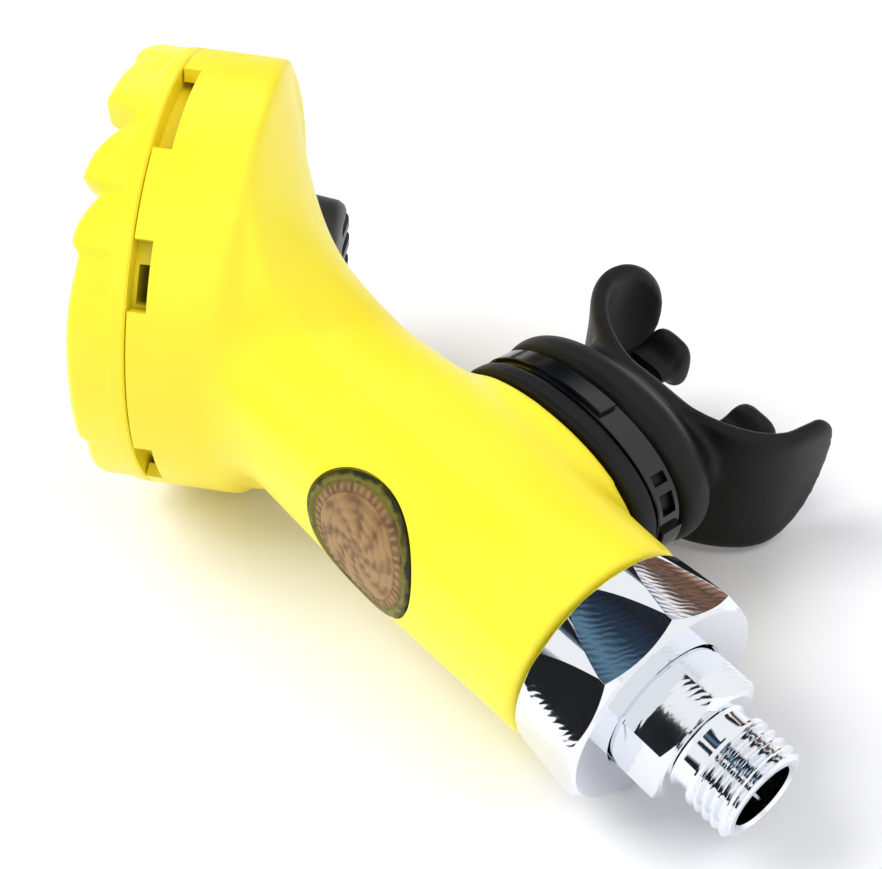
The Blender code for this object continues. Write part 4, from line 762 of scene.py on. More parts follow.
def relief(share, angle):
    """Height of the struck pattern from 0 in the hollows to 1 on the rim."""
    if share > 0.90:
        return 1.0 - ease((share - 0.97) / 0.03) * 0.8
    if share > 0.86:
        return 0.25
    if share > 0.72:
        bead = max(0.0, math.sin(angle * 44)) * math.sin((share - 0.72) / 0.14 * math.pi)
        return 0.30 + 0.45 * bead
    petals = 0.5 + 0.5 * math.cos(angle * 8 + share * 9)
    rings = 0.5 + 0.5 * math.sin(share * 46)
    return 0.32 + 0.30 * petals * ease(share * 3) + 0.14 * rings


def badge_grid(lift, depth, grow=0.0, rings=44, spokes=144, struck=0.0):
    """Closed plate on the barrel's skin: top lifted above it, underside depth below."""
    top, under, heights, edges = [], [], [], []
    for k in range(1, rings + 1):
        share = k / rings
        for i in range(spokes):
            angle = 2 * math.pi * i / spokes
            x = BADGE_AT + (BADGE_HALF[0] + grow) * share * math.cos(angle)
            turn = BADGE_TURN + (BADGE_HALF[1] + grow) * share * math.sin(angle) / BARREL_RADIUS
            skin = barrel_surface(x, turn)
            height = relief(share, angle)
            top.append(polar(skin + lift + struck * (height - 1), turn, x))
            under.append(polar(skin - depth, turn, x))
            heights.append(height)
            edges.append(share)
    skin = barrel_surface(BADGE_AT, BADGE_TURN)
    top.append(polar(skin + lift - struck * 0.6, BADGE_TURN, BADGE_AT))
    under.append(polar(skin - depth, BADGE_TURN, BADGE_AT))
    count = rings * spokes + 1
    faces = []
    for offset, flip in ((0, 1), (count, -1)):
        for k in range(rings - 1):
            for i in range(spokes):
                a, b = k * spokes + i, k * spokes + (i + 1) % spokes
                faces.append([offset + v for v in (a, a + spokes, b + spokes, b)][::flip])
        faces += [[offset + v for v in (count - 1, i, (i + 1) % spokes)][::flip]
                  for i in range(spokes)]
    last = (rings - 1) * spokes
    faces += [(last + i, last + i + count, last + (i + 1) % spokes + count, last + (i + 1) % spokes)
              for i in range(spokes)]
    return solid(top + under, faces), heights + [0.4], edges + [0.0]


pocket, _, _ = badge_grid(3.0, 0.9, grow=GAP, rings=10)
machine(housing, pocket, BARREL)
plate, heights, edges = badge_grid(0.3, 0.6, struck=0.42)
badge = put("badge_plate", plate, BARREL)
for name, values in (("relief", heights), ("edge", edges)):
    made = badge.data.attributes.new(name, "FLOAT", "POINT")
    values = (values * 2)[:len(badge.data.vertices)]
    made.data.foreach_set("value", np.array(values, np.float32))
dress(badge, BRONZE, stands_for=("badge",), sharp_deg=50.0)
dress(housing, ABS, stands_for=("housing",))

# %% [markdown]
# ## The front cover
#
# The cover's rim is cut like a saw blade laid round a circle, so that wet gloves can turn it.
# Each tooth rises slowly and drops steeply, and the drop also bites into the side.  The section
# of the rim is drawn once as an outline whose top follows the tooth, and it is swept through 360
# degrees, one section a degree.

# %% Front cover
COVER_HEIGHT, COVER_RIM_WIDTH, COVER_PLATE_TOP, COVER_PLATE = 9.7, 7.6, 1.2, 1.7
TOOTH_DROPS = ((81.0, 5.0), (57.0, 2.8), (41.0, 1.1), (-14.0, 1.1))


def tooth_height(angle_deg, slope=3.5):
    """Top of the rim at an angle: it ramps up, then drops going down in angle."""
    drops = sorted(((angle % 120.0, depth) for angle, depth in TOOTH_DROPS), reverse=True)
    here = angle_deg % 120.0
    for index, (angle, depth) in enumerate(drops):
        span = (angle - drops[(index + 1) % len(drops)][0]) % 120.0
        below = (angle - here) % 120.0
        if below <= span:
            if below < slope:
                return COVER_HEIGHT - depth * ease(below / slope)
            share = min(1.0, (below - slope) / (min(span, 26.0) - slope))
            return COVER_HEIGHT - depth * (1 - math.sin(share * math.pi / 2))
    return COVER_HEIGHT


def cover_section(angle_deg):
    top = tooth_height(angle_deg)
    bite = 0.30 * (COVER_HEIGHT - top)
    edge, skirt = DRUM_RADIUS, DRUM_RADIUS - RIM_WALL - 1.5
    rim_in = DRUM_RADIUS - COVER_RIM_WIDTH
    low = COVER_PLATE_TOP - COVER_PLATE
    side = edge - 0.3 - bite
    return [(3.7, low), (skirt - 2.2, low), (skirt - 2.2, -4.0), (skirt, -4.0), (skirt, GAP / 2),
            (edge - 0.3, GAP / 2), (edge, GAP / 2 + 0.3), (edge, 2.2), (edge - 0.1, 2.6),
            (side, 3.2), (side, max(3.4, top - 2.2)), (side - 0.35, top - 1.0),
            (side - 1.0, top - 0.35), (side - 2.0, top), (rim_in + 1.8, top),
            (rim_in + 0.7, top - 0.4), (rim_in + 0.1, top - 1.2), (rim_in, top - 2.0),
            (rim_in - 0.2, COVER_PLATE_TOP + 0.4), (rim_in - 0.6, COVER_PLATE_TOP),
            (3.7, COVER_PLATE_TOP)]


angles = np.arange(0.0, 360.0, 1.0)
cover = put("cover_rim", loft([[polar(r, a, z) for r, z in cover_section(math.degrees(a))]
                               for a in np.radians(angles)], closed_path=True), DRUM)
for number in range(6):
    machine(cover, sector(8.7, DRUM_RADIUS - COVER_RIM_WIDTH - 3.2, 60.0 * number, 42.0,
                          COVER_PLATE_TOP - 3, COVER_PLATE_TOP + 1), DRUM)
# a notch in the skirt lets one see in through the window beside it
for turn in (0.0, 180.0):
    machine(cover, sector(inner - 8, DRUM_RADIUS - 1, turn + 32.5, 10.5, -5.0, -0.4), DRUM)
dress(cover, ABS, stands_for=("front_cover",), sharp_deg=28.0)

# %% [markdown]
# ## Purge button, springs and diaphragm
#
# Hidden pieces can keep their CAD shapes, but soft and wound ones are smooth in reality, so they
# are turned again with more sides.  When the button is pressed the real spring closes up and the
# diaphragm folds.

# %% Purge button
PURGE_RADIUS, PURGE_DOME, PURGE_TRAVEL = 27.4, 8.6, 3.0
edge_low = COVER_PLATE_TOP + PURGE_TRAVEL + 0.6
dome = [((PURGE_RADIUS - 1.2) * (1 - s), edge_low + 2.3
         + (PURGE_DOME - edge_low - 2.3) * math.sin(s * math.pi / 2))
        for s in np.linspace(0, 1, 15)]
under = [(3.2, dome[-3][1] - 1.8)]
under += [(r - 0.7, z - 1.8) for r, z in dome[-4:0:-1] if r > 5.0]
button = put("purge_cap", lathe([(0, -4.7), (2.7, -4.7), (3.2, -4.2), *under,
                                 (PURGE_RADIUS - 1.8, edge_low), (PURGE_RADIUS - 0.3, edge_low),
                                 (PURGE_RADIUS, edge_low + 0.3), (PURGE_RADIUS, edge_low + 1.3),
                                 *dome]), DRUM)
dress(button, ACETAL, body="purge", stands_for=("purge_button",))


# %% Springs as one swept wire
def coil(name, radius, wire, turns, low, high, matrix, stands_for):
    steps = int(turns * 24)
    spine = []
    for i in range(steps + 1):
        share = i / steps
        # the end coils lie flat, as ground ends do
        rise = 0.25 * ease(share) + 0.75 * share
        spine.append(Vector(polar(radius, 2 * math.pi * turns * share,
                                  low + wire + (high - low - 2 * wire) * rise)))
    rings = []
    for i, point in enumerate(spine):
        ahead = (spine[min(i + 1, steps)] - spine[max(i - 1, 0)]).normalized()
        out = Vector((point.x, point.y, 0)).normalized()
        side = ahead.cross(out)
        rings.append([tuple(point + out * wire * math.cos(a) + side * wire * math.sin(a))
                      for a in np.linspace(0, 2 * math.pi, 10, endpoint=False)])
    made = put(name, loft(rings), matrix)
    return dress(made, STEEL, stands_for=stands_for)


purge_coil = coil("purge_coil", 6.2, 0.45, 2.5, COVER_PLATE_TOP + GAP, 6.4, DRUM, ("purge_spring",))
valve_coil = coil("valve_coil", 3.3, 0.4, 7, 67.4, 82.5, BARREL, ("valve_spring",))
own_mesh(purge_coil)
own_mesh(valve_coil)

# %% Diaphragm
ring_in, bead_low = DRUM_RADIUS - RIM_WALL - GAP - 3.4, GAP - LEDGE_DEPTH
fold = []
for share in np.linspace(0, 1, 19):
    level = bead_low + 1.4 + (-5.0 - bead_low - 1.4) * ease(share)
    fold.append((ring_in - 0.6 + (15.5 - ring_in + 0.6) * share,
                 level - 2.6 * math.sin(math.pi * share) ** 2))
diaphragm = put("diaphragm_skin",
                lathe([(0, -5.9), *[(r, z - 0.9) for r, z in reversed(fold)],
                       (ring_in - 0.2, bead_low), (DRUM_RADIUS - RIM_WALL - GAP, bead_low),
                       (DRUM_RADIUS - RIM_WALL - GAP, bead_low + 1.8),
                       (ring_in - 0.2, bead_low + 1.8), *fold, (0, -5.0)], 96), DRUM)
dress(diaphragm, CLEAR, stands_for=("diaphragm",))
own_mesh(diaphragm)

# %% [markdown]
# ## The collar
#
# A turned ring with nine milled flats for a spanner.  The flats lean, so they are wide at the
# front and the lands between them run out to points behind a thin round lip.  Each flat is a
# plane cut; a hair of bevel on every edge catches the light the way plated edges do.

# %% Collar
COLLAR_TURN_DEG, COLLAR_FLATS, FLAT_BACK, FLAT_FRONT = 34.0, 9, 15.72, 16.02
COLLAR_BORE = 9.85
collar_bm = lathe([(0, COLLAR_BACK), (15.6, COLLAR_BACK), (15.9, COLLAR_BACK + 0.3),
                   (17.1, COLLAR_FRONT - 1.5), (15.95, COLLAR_FRONT - 0.45), (15.75, COLLAR_FRONT),
                   (0, COLLAR_FRONT)], 180)
lean = math.atan2(FLAT_FRONT - FLAT_BACK, COLLAR_LENGTH)
flat_normals = []
for number in range(COLLAR_FLATS):
    turn = math.radians(COLLAR_TURN_DEG + 360.0 * number / COLLAR_FLATS)
    radial = Vector((math.cos(turn), math.sin(turn), 0))
    normal = radial * math.cos(lean) - Vector((0, 0, math.sin(lean)))
    flat_normals.append((normal, radial))
    everything = collar_bm.verts[:] + collar_bm.edges[:] + collar_bm.faces[:]
    cut = bmesh.ops.bisect_plane(collar_bm, geom=everything, dist=1e-5, clear_outer=True,
                                 plane_co=radial * FLAT_BACK + Vector((0, 0, COLLAR_BACK)),
                                 plane_no=normal)
    bmesh.ops.holes_fill(collar_bm, sides=0, edges=[
        e for e in cut["geom_cut"] if isinstance(e, bmesh.types.BMEdge)])
collar = put("collar_ring", collar_bm, BARREL)
machine(collar, lathe([(0, COLLAR_BACK - 2), (SPIGOT_RADIUS + GAP, COLLAR_BACK - 2),
                       (SPIGOT_RADIUS + GAP, COLLAR_FRONT - SOCKET_DEPTH),
                       (COLLAR_BORE, COLLAR_FRONT - SOCKET_DEPTH),
                       (COLLAR_BORE, COLLAR_FRONT - 0.4), (COLLAR_BORE + 0.4, COLLAR_FRONT + 0.02),
                       (COLLAR_BORE + 0.4, COLLAR_FRONT + 2), (0, COLLAR_FRONT + 2)]), BARREL)
change(collar, "BEVEL", width=0.12 * MM, segments=2, limit_method="ANGLE",
       angle_limit=math.radians(7.0))


# %% UV map that places the cutter's arcs
def mill_marks(obj, matrix, flats, centre):
    """UVs in mm from the cutter's centre and the middle of each flat, none elsewhere."""
    layer = obj.data.uv_layers.new(name="milled")
    crown = obj.data.uv_layers.new(name="crown")
    back = matrix.inverted()
    turn_back = back.to_3x3()
    for face in obj.data.polygons:
        normal = (turn_back @ face.normal).normalized()
        found = next(((n, r) for n, r in flats if n.dot(normal) > 0.9995), None)
        for loop in face.loop_indices:
            place = back @ obj.data.vertices[obj.data.loops[loop].vertex_index].co / MM
            uv, mid = (900.0, 900.0), 0.0
            if found:
                mid = place.dot(found[1].cross(Vector((0, 0, 1))))
                uv = (mid - centre[0], place.z - centre[1])
            layer.data[loop].uv = uv
            crown.data[loop].uv = (mid, 0.0)


mill_marks(collar, BARREL, flat_normals, (9.0, COLLAR_BACK - 6.0))
dress(collar, CHROME, stands_for=("collar",), sharp_deg=5.0)

# %% [markdown]
# ## The inlet fitting and its thread
#
# The hexagon is milled from a turned blank whose front edge is chamfered, so the corners run out
# in curves.  The male thread is 9/16 inch with 18 turns to the inch: 14.29 mm outside, a pitch of
# 1.411 mm, 60 degree flanks.  It is one grid of points whose radius depends on the turn, so it is a
# true helix, and it fades out at both ends.

# %% Inlet fitting
THREAD_END, PITCH, CREST = 131.5, 25.4 / 18, 7.14
THREAD_LENGTH, BORE = 6.8, 4.85
THREAD_START = THREAD_END - THREAD_LENGTH
HEX_FRONT = THREAD_START - 3.0
HEX_BACK = COLLAR_FRONT + GAP
HEX_TURN_DEG, HEX_HALF = 5.0, 8.5
ORIFICE_AT, ORIFICE_LENGTH = 89.0, 14.0
fitting = put("inlet_body", lathe(
    [(0, shoulder + GAP), (10.4, shoulder + GAP), (10.4, spigot_end), (9.55, spigot_end),
     (9.55, HEX_BACK), (9.85, HEX_BACK + 0.4), (10.05, HEX_BACK + 1.0), (10.05, HEX_FRONT - 1.0),
     (8.1, HEX_FRONT), (6.7, HEX_FRONT), (6.3, HEX_FRONT + 0.4), (6.2, HEX_FRONT + 0.9),
     (6.2, THREAD_START), (0, THREAD_START)], 144), BARREL)
hex_normals = []
for side in range(6):
    turn = math.radians(60 * side + HEX_TURN_DEG)
    radial = Vector((math.cos(turn), math.sin(turn), 0))
    hex_normals.append((radial, radial))
    cutter = [(HEX_HALF, -20.0), (HEX_HALF + 6, -20.0), (HEX_HALF + 6, 20.0), (HEX_HALF, 20.0)]
    machine(fitting, loft([[(x * radial.x - y * radial.y, x * radial.y + y * radial.x, z)
                            for x, y in cutter] for z in (HEX_BACK, HEX_FRONT + 0.05)]), BARREL)
machine(fitting, lathe([(0, shoulder - 3), (4.9, shoulder - 3),
                        (4.9, ORIFICE_AT + ORIFICE_LENGTH + GAP),
                        (2.3, ORIFICE_AT + ORIFICE_LENGTH + GAP), (2.3, THREAD_END - 13.0),
                        (BORE, THREAD_END - 11.4), (BORE, THREAD_END + 2), (0, THREAD_END + 2)],
                       96), BARREL)
change(fitting, "BEVEL", width=0.14 * MM, segments=2, limit_method="ANGLE",
       angle_limit=math.radians(25.0))
mill_marks(fitting, BARREL, hex_normals, (0.0, HEX_BACK + 16.0))
dress(fitting, CHROME, stands_for=("inlet_fitting",), sharp_deg=20.0)


# %% Thread
def thread_radius(height, turn):
    """Radius of a 60 degree thread that fades in at its start and is chamfered at its end."""
    place = (height / PITCH - turn) % 1.0
    depth = 0.6134 * PITCH
    rise = min(1.0, max(0.0, (abs(place - 0.5) - 0.0625) / 0.3125))
    cut = depth * rise * ease((height - 0.2) / 1.2)
    chamfer = max(0.0, height - (THREAD_LENGTH - 0.85))
    return min(CREST - cut, CREST + 0.02 - chamfer * 1.15)


sides, rows = 120, 110
turns = [i / sides for i in range(sides)]
heights = [THREAD_LENGTH * k / rows for k in range(rows + 1)]
rings = [[polar(thread_radius(height, turn), 2 * math.pi * turn, THREAD_START + height)
          for turn in turns] for height in heights]
mouth_rings = ((BORE + 0.5, THREAD_LENGTH), (BORE, THREAD_LENGTH - 0.45), (BORE, 0.0))
rings += [[polar(radius, 2 * math.pi * turn, THREAD_START + height) for turn in turns]
          for radius, height in mouth_rings]
thread = put("inlet_thread", loft(rings, closed_path=True), BARREL)
for name, far in (("milled", 900.0), ("crown", 0.0)):
    for loop in thread.data.uv_layers.new(name=name).data:
        loop.uv = (far, far)
dress(thread, CHROME, sharp_deg=40.0)
print("thread turns:", round(THREAD_LENGTH / PITCH, 1))

# %% [markdown]
# ## The mouthpiece
#
# Silicone is cast in one piece: a bead against the housing, a groove for the tie, a
# sleeve that narrows, a lip shield that wraps round, and two tabs to bite on.  They are
# lofted as separate overlapping solids and melted, which gives the soft inner corners of a real
# casting.  The bore is cut last.

# %% Sizes of the mouthpiece
SLEEVE_LENGTH = 20.2
SHIELD_HALF_WIDTH, SHIELD_SWEEP, BEND_SHARE, SHIELD_THICKNESS = 21.8, 13.0, 0.66, 3.2
SHIELD_SHIFT, SHIELD_TURN_DEG = -0.7, 6.0
# pairs are the wings on the drum's side and on the inlet's side
WING_LENGTH, WING_CURL, WING_ROLL = (8.2, 8.4), (3.2, 0.6), (0.85, 0.50)
WING_TOP, WING_BOTTOM, MIDDLE_TOP, MIDDLE_BOTTOM = (10.0, 8.4), (17.6, 15.8), 9.0, 19.6
CUT_ABOVE, CUT_BELOW = (0.62, 0.80), (0.58, 0.50)
TAB_AT, TAB_HALF, TAB_DROP, TAB_REACH, NUB_HALF = 10.5, 4.5, 2.8, 38.5, (4.6, 4.0)
SLEEVE_POWER, MOUTH_HALF = 2.15, (13.5, 5.6)
GROOVE_HALF = (18.9, 10.9)
face = PORT_FACE + GAP
bead_end, groove_end = face + 3.6, face + 9.2
plate_at = PORT_FACE + SLEEVE_LENGTH


def shield_path(share):
    """The shield's middle line from above: a half ellipse that ends in straight wings."""
    side, far = math.copysign(1.0, share), abs(share)
    length, curl = WING_LENGTH[share > 0], WING_CURL[share > 0]
    if far < BEND_SHARE:
        angle = far / BEND_SHARE * math.pi / 2
        return Vector((side * SHIELD_HALF_WIDTH * math.sin(angle), 0.0,
                       plate_at + SHIELD_SWEEP * (1 - math.cos(angle))))
    run = (far - BEND_SHARE) / (1 - BEND_SHARE)
    return Vector((side * (SHIELD_HALF_WIDTH - curl * run ** 2), 0.0,
                   plate_at + SHIELD_SWEEP + length * run))


# %% Lip shield
def tapered(height, far, start):
    """Height of a wing that rounds off from a share of its run."""
    return height * math.sqrt(max(0.015, 1 - max(0.0, (far - start) / (1 - start)) ** 2.4))


def shield(steps=60, rows=24):
    """Bent plate with fin-shaped wings and a rolled, thicker edge."""
    rings = []
    for i in range(steps + 1):
        share = -1 + 2 * i / steps
        place, side, far = shield_path(share), int(share > 0), abs(share)
        run = shield_path(min(1.0, share + 0.02)) - shield_path(max(-1.0, share - 0.02))
        normal = Vector((run.z, 0.0, -run.x)).normalized()
        wing = ease(far * 1.6)
        top = tapered(MIDDLE_TOP + (WING_TOP[side] - MIDDLE_TOP) * wing, far, CUT_ABOVE[side])
        bottom = tapered(MIDDLE_BOTTOM + (WING_BOTTOM[side] - MIDDLE_BOTTOM) * wing, far,
                         CUT_BELOW[side])
        roll = WING_ROLL[int(share >= 0)]
        ring = []
        for face_side in (1, -1):
            for j in range(rows + 1):
                up = math.sin(math.radians(-90 + 180 * j / rows)) * face_side
                thick = SHIELD_THICKNESS / 2 * (0.74 + roll * wing * abs(up) ** 5) \
                    * math.sqrt(max(0.0, 1 - abs(up) ** 16))
                centre = place + Vector((0.0, (bottom - top) / 2 + (bottom + top) / 2 * up, 0))
                ring.append(tuple(centre + normal * thick * face_side))
        rings.append(ring)
    return loft(rings)


# %% Bite tabs
def bite_tab(side):
    half, nub, reach = TAB_HALF, NUB_HALF[side > 0], PORT_FACE + TAB_REACH
    outline = [(half, 1.6, plate_at - 0.7), (half, 1.6, reach - 5.4), (half, 2.1, reach - 4.2),
               (half, 3.8, reach - 3.5), (half, nub, reach - 2.6), (half, nub, reach - 0.9),
               (half - 0.4, nub - 0.6, reach - 0.2), (half - 1.2, nub - 1.6, reach)]
    return loft([hoop(x, y, z, 3.5, 40, at=(side * TAB_AT, TAB_DROP)) for x, y, z in outline])


# %% Sleeve, and all of it melted
sleeve_stations = [(*PORT_HALF, face), (PORT_HALF[0] + 0.4, PORT_HALF[1] + 0.4, face + 0.9),
                   (PORT_HALF[0] + 0.4, PORT_HALF[1] + 0.4, bead_end - 0.7),
                   (PORT_HALF[0] - 0.2, PORT_HALF[1] - 0.2, bead_end),
                   (*GROOVE_HALF, bead_end + 0.05), (*GROOVE_HALF, groove_end - 0.05),
                   (PORT_HALF[0], PORT_HALF[1], groove_end),
                   (21.1, 13.0, groove_end + 0.8), (21.4, 13.3, groove_end + 2.2),
                   (21.2, 13.1, groove_end + 4.2), (20.3, 12.2, groove_end + 5.7),
                   (18.2, 10.2, groove_end + 7.4), (16.4, 8.9, plate_at - 1.6),
                   (15.8, 8.6, plate_at + 1.6)]
mouthpiece = put("mouthpiece_rubber",
                 loft([hoop(*station, SLEEVE_POWER, 120) for station in sleeve_stations]), MOUTH)
# the soft shield sits a little turned and pushed aside on its sleeve
aside = Matrix.Translation((SHIELD_SHIFT * MM, 0.0, plate_at * MM)) \
    @ Matrix.Rotation(math.radians(SHIELD_TURN_DEG), 4, "Y") \
    @ Matrix.Translation((0.0, 0.0, -plate_at * MM))
for bm in (shield(), bite_tab(-1), bite_tab(1)):
    join(mouthpiece, bm, MOUTH @ aside)


def rubber_weight(points):
    """Keep the bead and the groove crisp and melt the shield's root and the tabs more."""
    return np.clip((in_frame(MOUTH, points)[2] - (groove_end - 0.6)) / 4.0, 0.04, 0.5)


melt(mouthpiece, 0.45, 24, rubber_weight)

# %% Bore and pocket
stub_end = PORT_FACE + STUB_LENGTH
machine(mouthpiece, loft([hoop(STUB_HALF[0] + GAP, STUB_HALF[1] + GAP, z)
                          for z in (PORT_FACE - 2, stub_end + GAP)]), MOUTH)
machine(mouthpiece, loft([hoop(STUB_HALF[0] - STUB_WALL, STUB_HALF[1] - STUB_WALL, stub_end - 2),
                          hoop(*MOUTH_HALF, plate_at), hoop(*MOUTH_HALF, plate_at + 12)]), MOUTH)
dress(mouthpiece, SILICONE, stands_for=("mouthpiece",), sharp_deg=50.0)

# %% [markdown]
# ## The cable tie
#
# The tie is a strap that runs through a lock.  Where its end has been pulled through, two layers
# lie on each other; then comes the bare strap, with two open windows beside the lock.
# Strap, overlap and lock are lofts that follow the groove between two angles.

# %% Cable tie
TIE_WIDTH, tie_low = 4.4, bead_end + 0.6
TIE_BEND = 0.93                      # 2 / 2.15, the power of the port's oval


def strap(low, high, inner_grow, outer_grow, start_deg, end_deg, steps):
    """Part of a band round the groove between two heights and two angles."""
    rings = []
    for angle in np.radians(np.linspace(start_deg, end_deg, steps)):
        c, s = math.cos(angle), math.sin(angle)
        ring = []
        for grow, z in ((inner_grow, low), (outer_grow - 0.15, low), (outer_grow, low + 0.2),
                        (outer_grow, high - 0.2), (outer_grow - 0.15, high), (inner_grow, high)):
            x = (GROOVE_HALF[0] + grow) * math.copysign(abs(c) ** TIE_BEND, c)
            y = (GROOVE_HALF[1] + grow) * math.copysign(abs(s) ** TIE_BEND, s)
            ring.append((x, y, z))
        rings.append(ring)
    return loft(rings)


tie = put("tie_strap", strap(tie_low, tie_low + TIE_WIDTH, GAP, 1.0, 0.01, 359.99, 200), MOUTH)
# the overlap, then the lock, and behind the lock two long windows through the strap
for operation, inset, inside, outside, start, end, steps in (
        ("UNION", 0.5, 0.8, 1.75, -300.0, -78.0, 140), ("UNION", 0.2, 0.8, 1.9, -2.0, 16.0, 12),
        ("DIFFERENCE", 0.9, 0.1, 2.5, -39.5, -32.5, 8),
        ("DIFFERENCE", 0.9, 0.1, 2.5, -26.5, -11.5, 8)):
    machine(tie, strap(tie_low + inset, tie_low + TIE_WIDTH - inset, inside, outside, start, end,
                       steps), MOUTH, operation)
dress(tie, NYLON, stands_for=("mouthpiece_tie",), sharp_deg=35.0)

# %% [markdown]
# ## Exhaust cover and flap
#
# Spent air leaves through a rubber flap on a spoked seat.  A black acetal hood with slots keeps
# the flap from being knocked; only its corner shows behind the drum, but the model is seen
# from all sides.

# %% Exhaust cover
HOOD_DEPTH, SLOT_PITCH = 9.4, 4.75
low = -DRUM_DEPTH - GAP - HOOD_DEPTH
half_x, half_y = EXHAUST_HALF
hood = put("exhaust_hood", loft([hoop(half_x * g, half_y * g, z, 2.4, 96, EXHAUST_AT) for g, z in
                                 ((0.70, low), (0.80, low + 0.25), (0.88, low + 0.9),
                                  (0.93, low + 1.9), (0.99, -DRUM_DEPTH - GAP - 0.5),
                                  (1.0, -DRUM_DEPTH - GAP))]), DRUM)
machine(hood, loft([hoop(9.4 * g, 10.9 * g, z, 2.4, 96, EXHAUST_AT)
                    for g, z in ((0.85, low + 1.6), (1.0, -DRUM_DEPTH + 1))]), DRUM)
for number in range(4):
    y = EXHAUST_AT[1] - half_y + 3.0 + SLOT_PITCH * (number + 0.5)
    x0, x1 = EXHAUST_AT[0] - 11.6, EXHAUST_AT[0] - 0.1
    machine(hood, loft([hoop((x1 - x0) / 2, 1.5, z, 6.0, 32, ((x0 + x1) / 2, y))
                        for z in (low - 3, low + 3)]), DRUM)
dress(hood, ACETAL, stands_for=("exhaust_cover",))
flap = put("exhaust_disc", lathe([(0, -14.4), (5.0, -14.35), (7.6, -14.0), (7.8, -13.85),
                                  (7.8, -13.5), (1.4, -13.5), (1.4, -10.7), (0, -10.7)], 72),
           DRUM @ Matrix.Translation((EXHAUST_AT[0] * MM, EXHAUST_AT[1] * MM, 0)))
dress(flap, CLEAR, body="flap", stands_for=("exhaust_flap",))
seat = put("seat_disc", lathe([(0, 87.1), (4.0, 87.1), (4.1, 87.2), (4.1, 88.6), (4.0, 88.7),
                               (0, 88.7)], 48), BARREL)
dress(seat, NITRILE, body="poppet", stands_for=("valve_seat",))

# %% Finishes of the CAD pieces that stay
for name, material in (("clamp_ring", ACETAL), ("diaphragm_plate", STEEL), ("valve_tube", BRASS),
                       ("poppet", BRASS), ("spring_bush", BRASS), ("lever_nut", STEEL),
                       ("lever", STEEL), ("orifice", BRASS)):
    kept = frame["nodes"][name]
    kept.data.materials.clear()
    kept.data.materials.append(material)
    shade(kept)

# %% [markdown]
# ## Floor and light
#
# The photograph was taken on white paper under large soft lamps.  The floor is a wide pale disc.
# Chrome only looks like chrome when it has something dark to mirror, so black, blue and brown
# cards stand where a photographer would put them.  Only mirrors see them.

# %% Floor
floor_bm = solid([(3000 * math.cos(a), 3000 * math.sin(a), 0)
                  for a in np.linspace(0, 2 * math.pi, 64, endpoint=False)], [tuple(range(64))])
floor = put("floor", floor_bm, Matrix.Identity(4))
paper, tree, shader = finish("matt_white_paper", Roughness=0.9)
shader.inputs["Base Color"].default_value = linear("#F3F3F6")
floor.data.materials.append(paper)


# %% Lamps, cards and world
def aim(obj, place, target):
    obj.location = place
    obj.rotation_euler = (Vector(target) - Vector(place)).to_track_quat("-Z", "Y").to_euler()
    return obj


def lamp(name, place, size, watts):
    data = bpy.data.lights.new(name, "AREA")
    data.shape, data.size, data.size_y, data.energy = "RECTANGLE", size[0], size[1], watts
    made = bpy.data.objects.new(name, data)
    bpy.context.scene.collection.objects.link(made)
    # mirrors see the cards below instead of the lamps
    made.visible_glossy = False
    return aim(made, place, (0.0, 0.0, 0.03))


centre = Vector((0.0, 0.0, 0.03))
view_right = camera.matrix_world.to_3x3() @ Vector((1, 0, 0))
view_right.z = 0
view_right.normalize()
view_away = Vector((0, 0, 1)).cross(view_right)


def studio(right, away, up):
    """Point in metres by the photographer's right, away from them, and up."""
    return centre + view_right * right + view_away * away + Vector((0, 0, up))


lamp("key_softbox", studio(-1.15, 0.1, 1.5), (1.2, 1.2), 24.0)
lamp("fill_softbox", studio(0.9, -0.5, 1.3), (0.9, 0.6), 5.0)

# %% Cards that only mirrors see
LOOK = Vector((-0.532354, 0.498611, -0.684095))      # from camera to part, in the bench frame
CARDS_ROUND = Vector((108.0, 0.0, 0.0))              # the collar, in mm of the bench


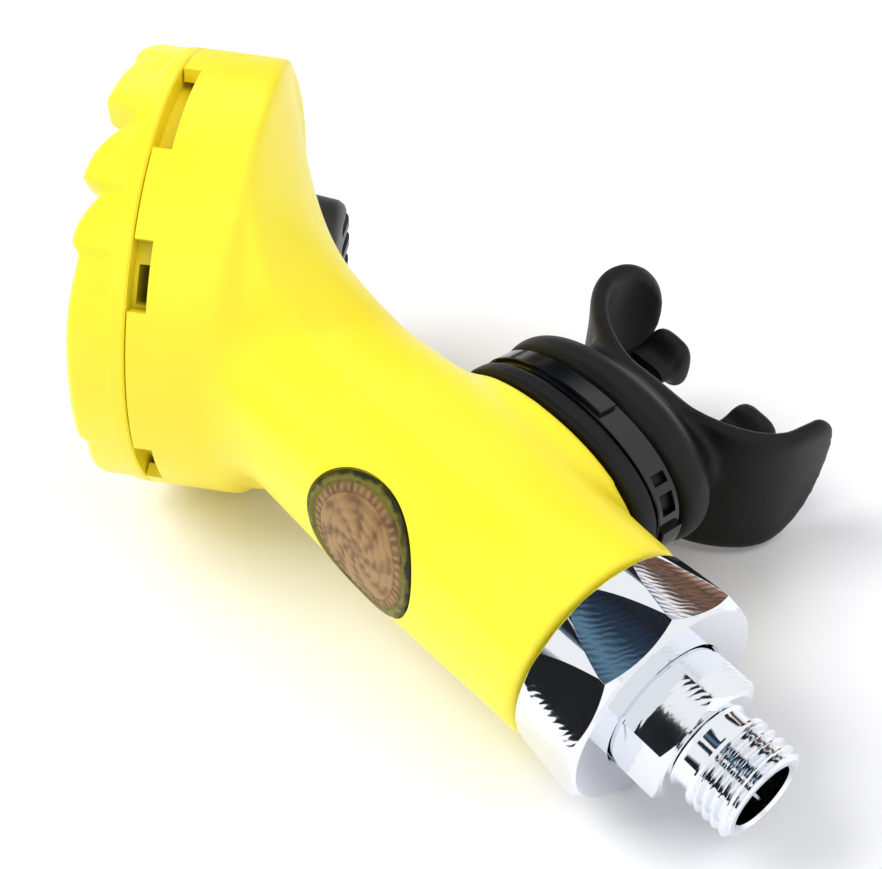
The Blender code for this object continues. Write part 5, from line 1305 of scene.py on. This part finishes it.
def card(name, low_deg, high_deg, tones, away=550.0, length=700.0):
    """Strip that the chrome mirrors between two angles about the barrel, 0 at the mouth's side."""
    turn, half = math.radians((low_deg + high_deg) / 2), math.radians((high_deg - low_deg) / 2)
    ring = math.sqrt(1 - LOOK.x ** 2)
    toward = Vector((LOOK.x, ring * math.cos(turn), ring * math.sin(turn)))
    side = Vector((0.0, -math.sin(turn), math.cos(turn)))
    wide, long = away * ring * math.tan(half), length / 2
    corners = [(-wide, -long, 0), (wide, -long, 0), (wide, long, 0), (-wide, long, 0)]
    made = put(name, solid(corners, [(0, 1, 2, 3)]),
               frame_of(side, toward.cross(side), -toward, CARDS_ROUND + toward * away))
    tone = made.data.attributes.new("tone", "FLOAT", "POINT")
    tone.data.foreach_set("value", [0.0, 1.0, 1.0, 0.0])
    paint, tree, shader = finish(name, Roughness=1.0)
    shader.inputs["Base Color"].default_value = (0.0, 0.0, 0.0, 1.0)
    stops = [(i / (len(tones) - 1), colour) for i, colour in enumerate(tones)]
    feed(tree, shader, Emission_Color=ramp(tree, attribute(tree, "tone"), stops))
    shader.inputs["Emission Strength"].default_value = 1.0
    made.data.materials.append(paint)
    made.visible_camera = made.visible_diffuse = made.visible_shadow = False


for name, low_deg, high_deg, tones in (
        ("low_left", 164.0, 208.0, "#C9CED6 #0B0D13 #06080C #0B0D13 #10141A #5B6570"),
        ("beside_key", 125.5, 139.0, "#10151B #06080C #15202A #6F8494"),
        ("overhead", 84.0, 122.5, "#C6D2DB #131C28 #0C141F #1B3145 #5E8199 #1E3040 #141E28"),
        ("right_dark", 27.0, 47.0, "#C4C8CF #20252D #0E1117 #1C2129 #B9BEC6"),
        ("right_brown", 9.0, 26.0, "#D9D5D4 #9A7560 #5A3E31 #80604F #4C362B #C9BDB6"),
        ("low_right", -36.0, -11.0, "#8E949D #0A0C12 #0A0C12 #20242B")):
    card("card_" + name, low_deg, high_deg, tones.split())

# %% World
world = bpy.data.worlds.new("studio")
bpy.context.scene.world = world
world.use_nodes = True
backdrop = world.node_tree.nodes["Background"]
rays = node(world.node_tree, "ShaderNodeLightPath")
seen = node(world.node_tree, "ShaderNodeMath", {"operation": "MAXIMUM"},
            {0: rays.outputs["Is Camera Ray"], 1: rays.outputs["Is Glossy Ray"]})
seen = node(world.node_tree, "ShaderNodeMath", {"operation": "MAXIMUM"},
            {0: seen.outputs["Value"], 1: rays.outputs["Is Transmission Ray"]})
power = node(world.node_tree, "ShaderNodeMapRange", {"To Min": 0.74, "To Max": 1.0},
             {"Value": seen.outputs["Value"]})
world.node_tree.links.new(power.outputs["Result"], backdrop.inputs["Strength"])
backdrop.inputs["Color"].default_value = linear("#FFFFFF")
bpy.context.scene.view_settings.view_transform = "Standard"
